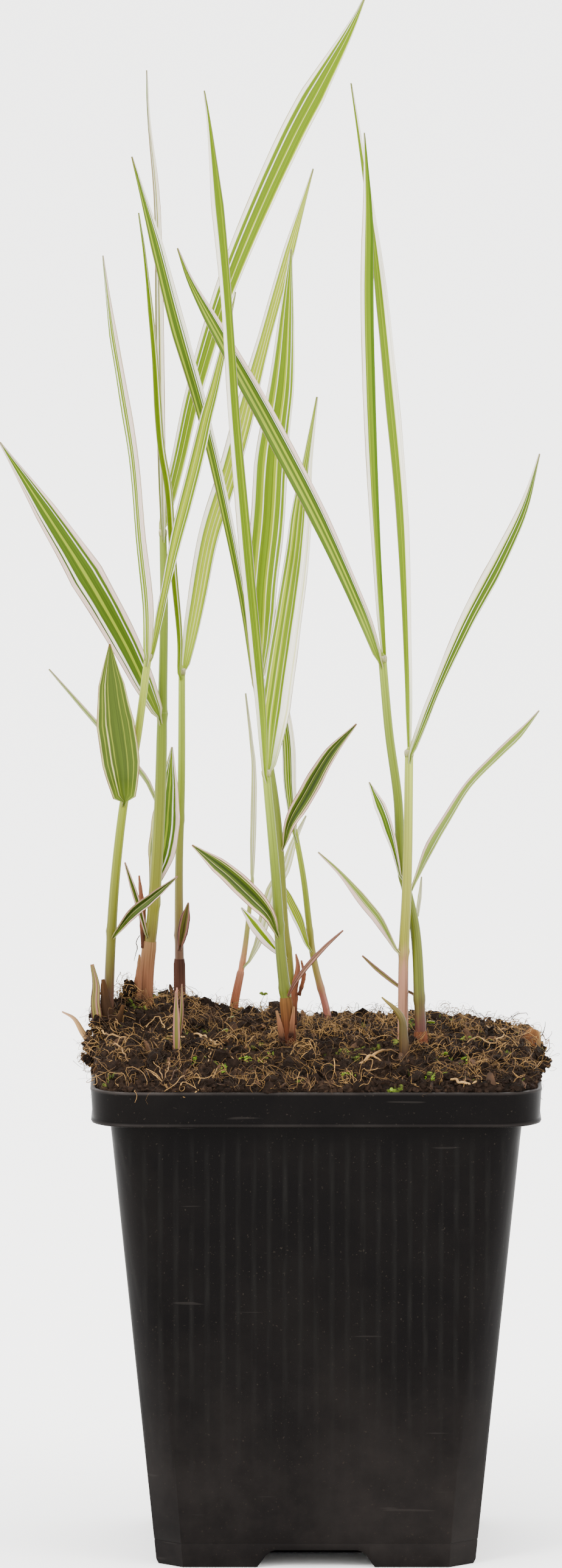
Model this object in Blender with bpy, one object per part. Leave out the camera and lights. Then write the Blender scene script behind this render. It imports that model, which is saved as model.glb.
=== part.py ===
# Variegated reed canary grass in a square nursery pot
# Values in the lists are millimetres, and the mesh is made in metres
import math
import random

import bmesh
import bpy
import numpy as np
from mathutils import Vector

MM = 0.001
GAP = 0.3

# Pot
POT_HEIGHT = 97.5
RIM_HALF = 45.0
RIM_BAND = 7.1
RIM_CORNER = 9.5
BODY_TOP_HALF = 41.0
FOOT_HALF = 31.9
WALL = 0.95
FLOOR_UNDER = 3.7
FLOOR_TOP = 4.9
PANEL_HALF = 14.0
DRAIN_RADIUS = 3.5
DRAIN_PLACE = 22.0
CORNER_STEPS = 4

# Foot notch, half of its outline from the middle of the top to the table
NOTCH_OUTLINE = [(8.2, 3.6), (9.3, 3.2), (10.3, 2.2), (11.8, 0.0), (12.4, -1.0)]

# Soil
SOIL_EDGE_RISE = 0.6
SOIL_RISE = 4.0
SOIL_RISE_RUN = 34.0
SOIL_LUMP = 0.5
# Mounds as x, y, height, spread in x, spread in y
SOIL_MOUNDS = [
    (-32, 25, 4.6, 14, 17),
    (-40, 12, 3.2, 6, 9),
    (2, 38, -1.0, 24, 14),
    (40, 32, -3.2, 10, 20),
]

STEM_SIDES = 8
BLADE_THICKNESS = 0.35

# Routes of stems and blades count their heights from this height over the table
ROUTE_LEVEL = 1.5

# Stems from the foot in the soil to the top collar, with widths at foot, middle and top
STEMS = {
    "stem_left": dict(
        route=[(-42, 8, 98), (-41.5, 8, 115), (-40.5, 6, 131.5), (-38.5, 2, 149), (-36, 0, 161), (-33.7, -2, 177.9)],
        widths=(2.3, 2.0, 1.6), colour=(0.36, 0.43, 0.11)),
    "stem_tall": dict(
        route=[(-34.7, 18, 97), (-34.2, 18, 112), (-32.8, 17, 125), (-31.5, 16, 146), (-31, 16, 164),
               (-30.6, 16, 186), (-30.8, 16, 201.1)],
        widths=(3.1, 2.0, 1.6), colour=(0.38, 0.42, 0.12)),
    "stem_slim": dict(
        route=[(-27.5, 30, 97), (-27.7, 30, 116.5), (-27.7, 29, 132), (-27.2, 28, 150.5), (-27.1, 27, 171.8)],
        widths=(2.1, 1.6, 1.4), colour=(0.36, 0.42, 0.12)),
    "stem_front": dict(
        route=[(-4.6, -13, 91), (-5.7, -13, 107), (-7.1, -13, 120.5), (-8, -14, 134.5), (-9.9, -14.5, 155.85)],
        widths=(2.8, 2.1, 1.8), colour=(0.34, 0.40, 0.10)),
    "stem_middle": dict(
        route=[(-5.2, 6, 92), (-5.1, 6, 112.5), (-6.2, 6, 123.5), (-7.1, 6, 139), (-8.5, 7, 151.5),
               (-12.1, 8, 171.4)],
        widths=(1.8, 1.3, 1.2), colour=(0.25, 0.30, 0.09)),
    "stem_back": dict(
        route=[(3.4, 34, 93), (2.4, 34, 101.5), (-0.4, 34, 113), (-2.3, 33, 128.5), (-4, 32, 138.4)],
        widths=(1.6, 1.3, 1.1), colour=(0.30, 0.33, 0.10)),
    "stem_pink": dict(
        route=[(-17.5, 38, 95), (-16.5, 38, 103), (-14.4, 38, 114), (-12.9, 37.5, 127.8)],
        widths=(1.8, 1.2, 0.8), colour=(0.63, 0.32, 0.22)),
    "stem_right": dict(
        route=[(21.4, -12, 91), (20.8, -11, 109), (19.9, -9.5, 124), (17.2, -9.5, 137), (16.4, -9, 150.5),
               (14.6, -9.5, 164), (13.3, -10, 178.3)],
        widths=(2.4, 1.9, 1.7), colour=(0.36, 0.43, 0.11)),
    "stem_right_front": dict(
        route=[(17.4, -6, 91), (17.5, -8.5, 109), (17.6, -11, 120), (18.1, -13.5, 131), (18.4, -14, 143),
               (18.6, -14, 159.8)],
        widths=(2.2, 2.0, 1.7), colour=(0.40, 0.42, 0.14)),
}

# Short shoots that still stand in their sheaths
SPROUTS = {
    "sprout_front": dict(
        route=[(-27.6, -17, 92), (-27.6, -17, 100), (-27.9, -17.5, 106), (-27.8, -18, 113.5)],
        widths=(2.0, 1.3, 0.3), colour=(0.35, 0.33, 0.14)),
    "sprout_right": dict(
        route=[(17.9, -22, 92), (17.5, -22, 104), (16.8, -22, 108.5), (13.1, -21, 112)],
        widths=(2.5, 1.9, 0.3), colour=(0.28, 0.20, 0.07)),
    "sprout_edge": dict(
        route=[(-40.5, 12, 99.2), (-45, 12, 98.4), (-46.9, 12, 100.2), (-48.8, 12.5, 103.2), (-51.3, 13, 104.6)],
        widths=(1.4, 1.1, 0.3), colour=(0.45, 0.30, 0.14)),
}

# Blades from base to tip. Widths are real widths at even steps, fold is how far the halves rise from flat,
# and turn is how far the blade is turned about its midrib at base and tip, both in degrees
BLADES = {
    "leaf_left_low": dict(
        route=[(-40.2, 6, 121.7), (-37.1, 3, 126), (-33.3, -1, 129.6), (-27.8, -6, 134.5)],
        widths=(1.6, 2.8, 2.8, 1.9, 0.2), fold=35, turn=(10, 25), colour=(0.05, 0.09, 0.03)),
    "leaf_left_upright": dict(
        route=[(-38.4, 0.5, 149), (-39.2, -2, 157.3), (-40.4, -4, 166), (-41.1, -6, 174), (-41.3, -8, 181.5)],
        widths=(4.2, 7.4, 8.1, 5.8, 0.3), fold=14, turn=(0, 12), colour=(0.10, 0.20, 0.05)),
    "leaf_left_white": dict(
        route=[(-33.6, -3.6, 178.2), (-33.5, -5, 189), (-34.9, -7, 203), (-36.2, -9, 219), (-38.5, -11, 234),
               (-40.4, -13, 245.6), (-42.4, -15, 259.9)],
        widths=(2.6, 2.6, 2.3, 2.6, 2.2, 0.2), fold=30, turn=(-10, -40), colour=(0.62, 0.68, 0.45)),
    "leaf_left_bright": dict(
        route=[(-33.1, -2, 178.2), (-31, -2, 188.7), (-28, -2, 202.7), (-24.4, -2.5, 217), (-22.2, -3, 226.5),
               (-20.2, -3, 234), (-16.1, -3, 251.7)],
        widths=(1.6, 1.9, 3.2, 3.2, 2.0, 0.2), fold=24, turn=(15, 28), colour=(0.42, 0.60, 0.08)),
    "leaf_tall_foot": dict(
        route=[(-34.3, 15.95, 120.3), (-36, 14, 126.8), (-38.5, 11, 135.2)],
        widths=(1.0, 1.2, 0.9, 0.2), fold=30, turn=(0, 0), colour=(0.45, 0.30, 0.22)),
    "leaf_tall_behind": dict(
        route=[(-33.2, 18.7, 128.5), (-31.1, 20.2, 137.5), (-30, 21.5, 147.5), (-29.1, 23, 157.3)],
        widths=(2.6, 5.9, 6.1, 3.7, 0.3), fold=12, turn=(8, 20), colour=(0.22, 0.32, 0.08)),
    "leaf_tall_thin": dict(
        route=[(-32.4, 17.7, 147.5), (-35.2, 19, 152.5), (-44.2, 22, 162), (-48.7, 23, 167), (-54, 24, 173)],
        widths=(1.4, 1.6, 1.5, 1.0, 0.2), fold=30, turn=(0, 20), colour=(0.20, 0.26, 0.10)),
    "leaf_tall_broad": dict(
        route=[(-31.7, 14.7, 164.6), (-38.3, 10, 179.3), (-46.2, 4, 194), (-54.6, -2, 208), (-63.2, -8, 222)],
        widths=(3.6, 6.1, 7.4, 4.6, 0.3), fold=14, turn=(8, 16), colour=(0.16, 0.34, 0.05)),
    "leaf_tall_rolled": dict(
        route=[(-30.7, 15.2, 201.6), (-31.1, 16.2, 216), (-31.6, 19, 242), (-32.1, 22, 266.8), (-33.7, 24, 284.3),
               (-34.1, 25, 294.2)],
        widths=(1.9, 2.5, 2.7, 2.4, 1.6, 0.2), fold=52, turn=(0, 20), colour=(0.60, 0.66, 0.48)),
    "leaf_tall_long": dict(
        route=[(-31.3, 17.4, 201.6), (-27.8, 19, 215.8), (-24.3, 21, 231), (-17.2, 25, 253.4), (-5.2, 30, 280.6),
               (6.2, 34, 300.8), (10, 36, 308.4)],
        widths=(2.6, 3.4, 4.2, 5.4, 5.7, 0.3), fold=16, turn=(10, 18), colour=(0.38, 0.58, 0.07)),
    "leaf_slim_foot": dict(
        route=[(-27.4, 28.5, 116.4), (-26.7, 27, 120.6), (-25.8, 25, 125.3)],
        widths=(1.6, 2.8, 2.4, 0.2), fold=30, turn=(0, 0), colour=(0.36, 0.36, 0.16)),
    "leaf_slim_rolled": dict(
        route=[(-27.6, 25.8, 172.2), (-27.5, 23, 180), (-28.6, 17, 194.4), (-29.5, 12, 210), (-31.1, 9.5, 221),
               (-32.3, 7.5, 239.6), (-34.1, 6, 257.3), (-35.5, 5.5, 266.9)],
        widths=(1.5, 1.9, 2.2, 2.2, 1.6, 0.2), fold=48, turn=(0, -20), colour=(0.40, 0.56, 0.10)),
    "leaf_slim_wide": dict(
        route=[(-26.8, 28, 172.2), (-24.4, 29, 185.5), (-21.8, 30.5, 199.5), (-17.4, 32, 213.7), (-12, 33, 234),
               (-5, 34, 258.8), (-0.5, 34, 273.7)],
        widths=(2.6, 4.1, 4.7, 4.5, 2.9, 2.6, 0.2), fold=16, turn=(10, 20), colour=(0.44, 0.58, 0.14)),
    "leaf_front_purple": dict(
        route=[(-5.2, -14.2, 112.2), (-4.2, -15.4, 114.2), (-1.7, -17.5, 117.9), (2.1, -20.5, 122.4),
               (5.4, -23, 125.7)],
        widths=(0.9, 1.0, 1.0, 0.7, 0.2), fold=35, turn=(0, 0), colour=(0.28, 0.15, 0.14)),
    "leaf_front_arching": dict(
        route=[(-8.1, -14.8, 124.8), (-9.4, -16.4, 128), (-12.1, -18, 131.3), (-17, -22, 136.5),
               (-20.6, -25, 139.8), (-24.7, -28, 143.4)],
        widths=(2.2, 4.0, 4.2, 3.3, 0.3), fold=18, turn=(0, 12), colour=(0.09, 0.15, 0.04)),
    "leaf_front_broad": dict(
        route=[(-9.5, -13.2, 156.2), (-8.8, -12, 164.4), (-7.9, -11, 171.3), (-5.9, -8, 185), (-3.9, -5.5, 198.7),
               (-2.4, -3, 213), (0.2, 0, 230.4)],
        widths=(3.4, 6.3, 6.0, 5.4, 4.6, 2.0, 0.3), fold=14, turn=(4, 12), colour=(0.34, 0.50, 0.10)),
    "leaf_front_folded": dict(
        route=[(-10.2, -15.8, 156.2), (-11.2, -17, 172), (-13.8, -19.5, 200), (-16.2, -20.5, 228),
               (-18.1, -21.5, 256), (-20.9, -22, 284), (-22.2, -22, 293.2)],
        widths=(1.8, 2.9, 3.3, 2.9, 2.6, 3.1, 0.2), fold=36, turn=(0, -12), colour=(0.28, 0.44, 0.08)),
    "leaf_middle_bitten": dict(
        route=[(-6.8, 5.4, 117.6), (-7.8, 5, 118), (-10.9, 4, 121.6), (-15, 3, 127)],
        widths=(1.4, 2.4, 2.2, 0.2), fold=20, turn=(0, 10), colour=(0.42, 0.50, 0.16)),
    "leaf_middle_side": dict(
        route=[(-6.3, 5.2, 139.6), (-5.2, 4, 144.1), (-2.3, 2, 149.5), (2.6, -1, 158.4), (8.1, -4, 165)],
        widths=(1.8, 3.5, 3.8, 2.7, 0.3), fold=20, turn=(0, 14), colour=(0.10, 0.20, 0.05)),
    "leaf_middle_broad": dict(
        route=[(-11.6, 9, 171.8), (-11.5, 9.5, 180.7), (-11.2, 10.5, 190.2), (-9.8, 12, 204.3), (-8.9, 13, 218),
               (-7, 14, 232), (-5.9, 14.8, 246.2), (-5, 15.5, 258.8)],
        widths=(3.2, 6.6, 7.1, 7.0, 5.6, 3.4, 0.3), fold=12, turn=(4, 12), colour=(0.46, 0.62, 0.12)),
    "leaf_middle_long": dict(
        route=[(-12.5, 6.6, 171.6), (-14, 5.5, 184.8), (-17.8, 4.5, 205), (-22.6, 3, 226), (-28, 0.5, 245.3),
               (-32.1, -1, 261.6), (-36.8, -2, 278.7)],
        widths=(1.7, 1.9, 2.4, 2.7, 3.6, 2.9, 0.2), fold=26, turn=(20, 10), colour=(0.38, 0.56, 0.08)),
    "leaf_back_low": dict(
        route=[(-1.7, 32.8, 115.8), (-3.3, 30, 120.8), (-5.4, 26, 125.7), (-7.8, 21, 131.4)],
        widths=(1.4, 1.9, 1.6, 0.2), fold=20, turn=(0, 10), colour=(0.45, 0.52, 0.14)),
    "leaf_back_upper": dict(
        route=[(-4.3, 31, 138.6), (-5.2, 29, 149), (-5.7, 27, 159), (-7.8, 25, 169.7), (-11.5, 22, 185.8),
               (-13, 21, 191.8)],
        widths=(1.8, 2.9, 2.7, 2.0, 0.2), fold=20, turn=(0, 20), colour=(0.24, 0.30, 0.10)),
    "leaf_pink_side": dict(
        route=[(-13.5, 37.2, 111.8), (-11.3, 37, 116.8), (-9, 36.5, 126.2), (-6.4, 36.5, 130.3),
               (-4.4, 36.5, 136.5), (-1.9, 36.5, 141.7)],
        widths=(1.2, 2.5, 2.5, 1.8, 0.2), fold=20, turn=(0, 10), colour=(0.48, 0.54, 0.14)),
    "leaf_pink_thin": dict(
        route=[(-12.9, 37.4, 128.2), (-12.5, 37, 149.4), (-13.1, 36.5, 157.4), (-14.2, 36, 166.8)],
        widths=(0.8, 1.0, 1.1, 0.8, 0.2), fold=35, turn=(0, 0), colour=(0.42, 0.42, 0.24)),
    "leaf_right_wisp": dict(
        route=[(20.0, -9.2, 110.6), (19.3, -7, 111), (17, -5.8, 112), (12.6, -5, 115.3), (9.3, -5, 118.3)],
        widths=(0.6, 0.6, 0.6, 0.4, 0.2), fold=20, turn=(0, 0), colour=(0.30, 0.18, 0.14)),
    "leaf_right_inner": dict(
        route=[(16.8, -11, 135.4), (15.6, -11.4, 140.8), (14.5, -12, 144.5), (13.3, -13, 148.2),
               (10.6, -14, 154.4)],
        widths=(1.1, 1.6, 2.4, 2.5, 0.2), fold=22, turn=(0, 10), colour=(0.24, 0.36, 0.07)),
    "leaf_right_outer": dict(
        route=[(19.7, -8.1, 133.4), (22.6, -7, 140.2), (26.3, -5, 146.3), (30.5, -2, 152.5), (36.1, 1, 158),
               (41, 3.2, 162.5), (44.9, 5, 166.7)],
        widths=(1.3, 2.4, 1.9, 1.4, 1.5, 2.0, 0.2), fold=30, turn=(0, 20), colour=(0.22, 0.30, 0.08)),
    "leaf_right_leaning": dict(
        route=[(12.7, -11.2, 178.7), (8.9, -12, 188.9), (0.9, -12.5, 206.6), (-9, -13.5, 225.7), (-18, -14.8, 242),
               (-24.6, -15.8, 254), (-27.6, -16.5, 261.5)],
        widths=(2.6, 3.1, 3.9, 4.3, 4.0, 2.8, 0.2), fold=20, turn=(0, 10), colour=(0.22, 0.34, 0.08)),
    "leaf_right_upright": dict(
        route=[(13.5, -9.3, 178.7), (12.5, -8, 192), (10.9, -6, 219.7), (10, -4.5, 247.8), (10.1, -4, 268.5),
               (9.6, -4, 283.6)],
        widths=(1.6, 2.0, 2.8, 3.1, 3.0, 0.2), fold=26, turn=(15, 25), colour=(0.40, 0.55, 0.14)),
    "leaf_right_front_inner": dict(
        route=[(15.9, -12.1, 120.7), (12.6, -14, 126.5), (9.9, -15, 130), (5, -17, 136.2), (0.4, -18, 140.8)],
        widths=(1.3, 2.4, 2.4, 1.2, 0.2), fold=28, turn=(0, 10), colour=(0.34, 0.36, 0.18)),
    "leaf_right_front_outer": dict(
        route=[(18.9, -15.4, 160.2), (23.7, -17, 173), (29.7, -19, 187), (36.4, -20.5, 200), (41.2, -21.5, 210.4),
               (44.4, -22, 221)],
        widths=(2.2, 2.0, 3.1, 3.8, 2.6, 0.2), fold=24, turn=(0, 14), colour=(0.26, 0.40, 0.08)),
    "leaf_right_front_upright": dict(
        route=[(18.6, -13.4, 160.2), (18.3, -11, 178.3), (17.1, -8, 207), (14.7, -4, 233.5), (12, 0, 259),
               (8.9, 3, 280.4), (7, 5, 292.9)],
        widths=(1.3, 1.9, 2.8, 3.3, 3.0, 1.6, 0.2), fold=28, turn=(10, 20), colour=(0.34, 0.52, 0.08)),
    "scale_left": dict(
        route=[(-43.4, 5.4, 100.6), (-44.4, 5.2, 107), (-44.3, 6, 111), (-45.1, 7, 115)],
        widths=(1.4, 1.5, 1.0, 0.3), fold=20, turn=(0, 0), colour=(0.22, 0.13, 0.07)),
}


def clear_scene():
    for item in list(bpy.data.objects):
        bpy.data.objects.remove(item, do_unlink=True)


def finish_material(name, colour, roughness):
    material = bpy.data.materials.new(name)
    material.use_nodes = True
    shader = material.node_tree.nodes["Principled BSDF"]
    shader.inputs["Base Color"].default_value = (*colour, 1.0)
    shader.inputs["Roughness"].default_value = roughness
    shader.inputs["Metallic"].default_value = 0.0
    return material


def add_object(name, shape, colour, roughness, smooth=True):
    bmesh.ops.recalc_face_normals(shape, faces=shape.faces)
    mesh = bpy.data.meshes.new(name)
    shape.to_mesh(mesh)
    shape.free()
    if smooth:
        mesh.shade_smooth()
        mesh.set_sharp_from_angle(angle=math.radians(35))
    piece = bpy.data.objects.new(name, mesh)
    bpy.context.scene.collection.objects.link(piece)
    mesh.materials.append(finish_material(name + "_finish", colour, roughness))
    return piece


def add_cutter(name, shape):
    piece = add_object(name, shape, (0.8, 0.8, 0.8), 0.5, smooth=False)
    piece.hide_render = True
    piece.display_type = "WIRE"
    return piece


def cut(piece, cutter):
    modifier = piece.modifiers.new(cutter.name, "BOOLEAN")
    modifier.operation = "DIFFERENCE"
    modifier.object = cutter
    modifier.solver = "EXACT"


def smooth_route(points, count):
    # A Catmull-Rom curve through the points, read at even lengths
    knots = [np.array(point, dtype=float) for point in points]
    knots = [2 * knots[0] - knots[1]] + knots + [2 * knots[-1] - knots[-2]]
    dense = []
    for index in range(1, len(knots) - 2):
        before, start, end, after = knots[index - 1:index + 3]
        for step in range(16):
            t = step / 16
            dense.append(0.5 * (2 * start + (end - before) * t
                                + (2 * before - 5 * start + 4 * end - after) * t ** 2
                                + (3 * start - before - 3 * end + after) * t ** 3))
    dense.append(knots[-2])
    dense = np.array(dense)
    lengths = np.concatenate([[0], np.cumsum(np.linalg.norm(np.diff(dense, axis=0), axis=1))])
    wanted = np.linspace(0, lengths[-1], count)
    return np.stack([np.interp(wanted, lengths, dense[:, axis]) for axis in range(3)], axis=1)


def raised(route):
    return [(x, y, z + ROUTE_LEVEL) for x, y, z in route]


def spread(values, count):
    # Values given at even steps, read at count even steps
    return np.interp(np.linspace(0, 1, count), np.linspace(0, 1, len(values)), values)


def route_length(points):
    return float(np.sum(np.linalg.norm(np.diff(np.array(points, dtype=float), axis=0), axis=1)))


def bridge(shape, lower, upper):
    count = len(lower)
    for index in range(count):
        after = (index + 1) % count
        shape.faces.new((lower[index], lower[after], upper[after], upper[index]))


def tube(route, widths, extra=0.0, count=None):
    # A tapering round stem. extra widens and deepens it, for the pocket it stands in
    count = count or max(4, round(route_length(route) / 13) + 1)
    path = smooth_route(route, count)
    radii = [float(width) / 2 + extra for width in spread(widths, count)]
    tangents = np.gradient(path, axis=0)
    path[0] -= extra * tangents[0] / np.linalg.norm(tangents[0])
    shape = bmesh.new()
    loops = []
    for point, tangent, radius in zip(path, tangents, radii):
        along = Vector(tangent).normalized()
        side = along.cross(Vector((0, 1, 0))).normalized()
        front = side.cross(along)
        loop = []
        for corner in range(STEM_SIDES):
            angle = 2 * math.pi * corner / STEM_SIDES
            place = Vector(point) + radius * (math.cos(angle) * side + math.sin(angle) * front)
            loop.append(shape.verts.new(place * MM))
        loops.append(loop)
    for lower, upper in zip(loops, loops[1:]):
        bridge(shape, lower, upper)
    shape.faces.new(loops[0])
    shape.faces.new(loops[-1])
    return shape


def blade(route, widths, fold, turn):
    # A leaf as a thin strip with a keel, its halves raised towards the front
    count = max(5, min(10, round(route_length(route) / 9) + 2))
    path = smooth_route(route, count)
    halves = [float(width) / 2 for width in spread(widths, count)]
    turns = [math.radians(float(angle)) for angle in spread(turn, count)]
    rise = math.sin(math.radians(fold))
    reach = math.cos(math.radians(fold))
    tangents = np.gradient(path, axis=0)
    shape = bmesh.new()
    loops = []
    for point, tangent, half, angle in zip(path, tangents, halves, turns):
        along = Vector(tangent).normalized()
        across = along.cross(Vector((0, 1, 0))).normalized()
        front = across.cross(along).normalized()
        if front.y > 0:
            front = -front
        side = math.cos(angle) * across + math.sin(angle) * front
        normal = math.cos(angle) * front - math.sin(angle) * across
        middle = Vector(point)
        left = middle - half * reach * side + half * rise * normal
        right = middle + half * reach * side + half * rise * normal
        lift = BLADE_THICKNESS / 2 * normal
        corners = (left + lift, middle + lift, right + lift, right - lift, middle - lift, left - lift)
        loops.append([shape.verts.new(corner * MM) for corner in corners])
    for lower, upper in zip(loops, loops[1:]):
        bridge(shape, lower, upper)
    for loop in (loops[0], loops[-1]):
        shape.faces.new((loop[0], loop[1], loop[4], loop[5]))
        shape.faces.new((loop[1], loop[2], loop[3], loop[4]))
    return shape


def square_ring(half, corner, straight, corner_steps, side_steps=1):
    # A square outline whose corners run from round (straight 0) to a plain 45 degree cut (straight 1)
    points = []
    for quarter in range(4):
        turn = math.pi / 2 * quarter
        for step in range(corner_steps + 1):
            t = step / corner_steps
            round_x = half - corner + corner * math.cos(t * math.pi / 2)
            round_y = half - corner + corner * math.sin(t * math.pi / 2)
            x = (1 - straight) * round_x + straight * (half - corner * t)
            y = (1 - straight) * round_y + straight * (half - corner + corner * t)
            points.append((x * math.cos(turn) - y * math.sin(turn), x * math.sin(turn) + y * math.cos(turn)))
        span = half - corner
        for step in range(1, side_steps):
            x = span - 2 * span * step / side_steps
            points.append((x * math.cos(turn) - half * math.sin(turn), x * math.sin(turn) + half * math.cos(turn)))
    return points


def wall_half(height, inset=0.0):
    # Half width of the tapering wall at a height
    rim_bottom = POT_HEIGHT - RIM_BAND
    return FOOT_HALF + (BODY_TOP_HALF - FOOT_HALF) * height / rim_bottom - inset


def wall_corner(height):
    # Corner size and how straight the corner is cut, rounder towards the top
    t = height / (POT_HEIGHT - RIM_BAND)
    return 5.3 + 2.2 * t, (1 - t) ** 0.7


def ring_at(shape, height, half, corner, straight, corner_steps=CORNER_STEPS, side_steps=1):
    outline = square_ring(half, corner, straight, corner_steps, side_steps)
    return [shape.verts.new(Vector((x, y, height)) * MM) for x, y in outline]


def close_ring(shape, loop, height):
    centre = shape.verts.new(Vector((0, 0, height)) * MM)
    for index, vertex in enumerate(loop):
        shape.faces.new((vertex, loop[(index + 1) % len(loop)], centre))


def make_pot():
    shape = bmesh.new()
    rim_bottom = POT_HEIGHT - RIM_BAND
    skirt_half = FOOT_HALF - 0.35
    loops = [
        ring_at(shape, 0, PANEL_HALF, 6, 0),
        ring_at(shape, FLOOR_UNDER, PANEL_HALF + 1.2, 6, 0),
        ring_at(shape, FLOOR_UNDER, wall_half(FLOOR_UNDER, WALL), 4.9, 1),
        ring_at(shape, 0, skirt_half - WALL, 4.8, 1),
        ring_at(shape, 0, skirt_half, 5.0, 1),
    ]
    heights = (0.9, FLOOR_TOP, 22, 44, 66, rim_bottom)
    for height in heights:
        loops.append(ring_at(shape, height, wall_half(height), *wall_corner(height)))
    loops += [
        ring_at(shape, rim_bottom, RIM_HALF - 0.5, RIM_CORNER - 0.4, 0),
        ring_at(shape, rim_bottom + 0.5, RIM_HALF - 0.2, RIM_CORNER - 0.2, 0),
        ring_at(shape, rim_bottom + 0.9, RIM_HALF - 0.5, RIM_CORNER - 0.4, 0),
        ring_at(shape, POT_HEIGHT - 0.5, RIM_HALF - 0.1, RIM_CORNER, 0),
        ring_at(shape, POT_HEIGHT, RIM_HALF - 0.4, RIM_CORNER - 0.3, 0),
        ring_at(shape, POT_HEIGHT, RIM_HALF - 1.1, RIM_CORNER - 1, 0),
        ring_at(shape, rim_bottom + 1.6, RIM_HALF - 1.6, RIM_CORNER - 1.4, 0),
    ]
    for height in (rim_bottom + 1.2, 66, 44, 22, FLOOR_TOP):
        corner, straight = wall_corner(min(height, rim_bottom))
        loops.append(ring_at(shape, height, wall_half(min(height, rim_bottom), WALL), corner - 0.6, straight))
    loops.append(ring_at(shape, FLOOR_TOP, PANEL_HALF + 2.2, 6.6, 0))
    loops.append(ring_at(shape, 1.2, PANEL_HALF + 1, 6, 0))
    for lower, upper in zip(loops, loops[1:]):
        bridge(shape, lower, upper)
    close_ring(shape, loops[0], 0)
    close_ring(shape, loops[-1], 1.2)
    pot = add_object("pot", shape, (0.011, 0.010, 0.009), 0.5)

    outline = [(-x, z) for x, z in reversed(NOTCH_OUTLINE)] + list(NOTCH_OUTLINE)
    for quarter in range(4):
        shape = bmesh.new()
        turn = math.pi / 2 * quarter
        ends = []
        for y in (-FOOT_HALF - 2, -FOOT_HALF + 3):
            ends.append([shape.verts.new(Vector((x * math.cos(turn) - y * math.sin(turn),
                                                 x * math.sin(turn) + y * math.cos(turn), z)) * MM)
                         for x, z in outline])
        bridge(shape, ends[0], ends[1])
        shape.faces.new(ends[0])
        shape.faces.new(ends[1])
        cut(pot, add_cutter(f"notch_cutter_{quarter + 1}", shape))
        hole_x = DRAIN_PLACE * (1 if quarter in (0, 3) else -1)
        hole_y = DRAIN_PLACE * (1 if quarter < 2 else -1)
        hole = [(hole_x, hole_y, FLOOR_UNDER - 1), (hole_x, hole_y, FLOOR_TOP + 1)]
        shape = tube(hole, (2 * DRAIN_RADIUS, 2 * DRAIN_RADIUS), count=2)
        cut(pot, add_cutter(f"drain_cutter_{quarter + 1}", shape))


def soil_height(x, y):
    # Height of the soil over the rim: low along the front, mounded at the back left
    run = min(max((y + RIM_HALF) / SOIL_RISE_RUN, 0), 1)
    height = SOIL_EDGE_RISE + SOIL_RISE * run * run * (3 - 2 * run)
    for mound_x, mound_y, rise, spread_x, spread_y in SOIL_MOUNDS:
        height += rise * math.exp(-((x - mound_x) / spread_x) ** 2 - ((y - mound_y) / spread_y) ** 2)
    return height


def make_soil():
    shape = bmesh.new()
    draw = random.Random(7)
    rim_bottom = POT_HEIGHT - RIM_BAND
    loops = []
    for height in (FLOOR_TOP + GAP, 44, rim_bottom):
        corner, straight = wall_corner(height)
        loops.append(ring_at(shape, height, wall_half(height, WALL + GAP + 0.1), corner - 0.8, straight, 3, 6))
    top_half = RIM_HALF - 2.1
    loops.append(ring_at(shape, rim_bottom + 2.0, wall_half(rim_bottom, WALL + GAP + 0.1), 6.7, 0, 3, 6))
    loops.append(ring_at(shape, rim_bottom + 2.1, top_half - 0.3, RIM_CORNER - 1.9, 0, 3, 6))
    for part in (1.0, 0.9, 0.76, 0.62, 0.47, 0.32, 0.16):
        loop = []
        for x, y in square_ring(top_half * part, (RIM_CORNER - 1.7) * part, 0, 3, 6):
            lump = draw.uniform(-SOIL_LUMP, SOIL_LUMP)
            lift = soil_height(x, y) * (0.55 if part == 1.0 else 1.0)
            height = POT_HEIGHT + max(lift + lump, 0.5)
            loop.append(shape.verts.new(Vector((x, y, height)) * MM))
        loops.append(loop)
    for lower, upper in zip(loops, loops[1:]):
        bridge(shape, lower, upper)
    close_ring(shape, loops[0], FLOOR_TOP + GAP)
    close_ring(shape, loops[-1], POT_HEIGHT + soil_height(0, 0))
    soil = add_object("soil", shape, (0.022, 0.014, 0.010), 0.95)
    for name, stem in {**STEMS, **SPROUTS}.items():
        cut(soil, add_cutter("pocket_" + name, tube(raised(stem["route"]), stem["widths"], extra=GAP)))


def main():
    clear_scene()
    make_pot()
    make_soil()
    for name, stem in {**STEMS, **SPROUTS}.items():
        add_object(name, tube(raised(stem["route"]), stem["widths"]), stem["colour"], 0.5)
    for name, leaf in BLADES.items():
        shape = blade(raised(leaf["route"]), leaf["widths"], leaf["fold"], leaf["turn"])
        add_object(name, shape, leaf["colour"], 0.45)


main()
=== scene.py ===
# Variegated reed canary grass in a square nursery pot: the looks
import math

import bmesh
import bpy
import numpy as np
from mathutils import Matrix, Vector, noise


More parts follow.
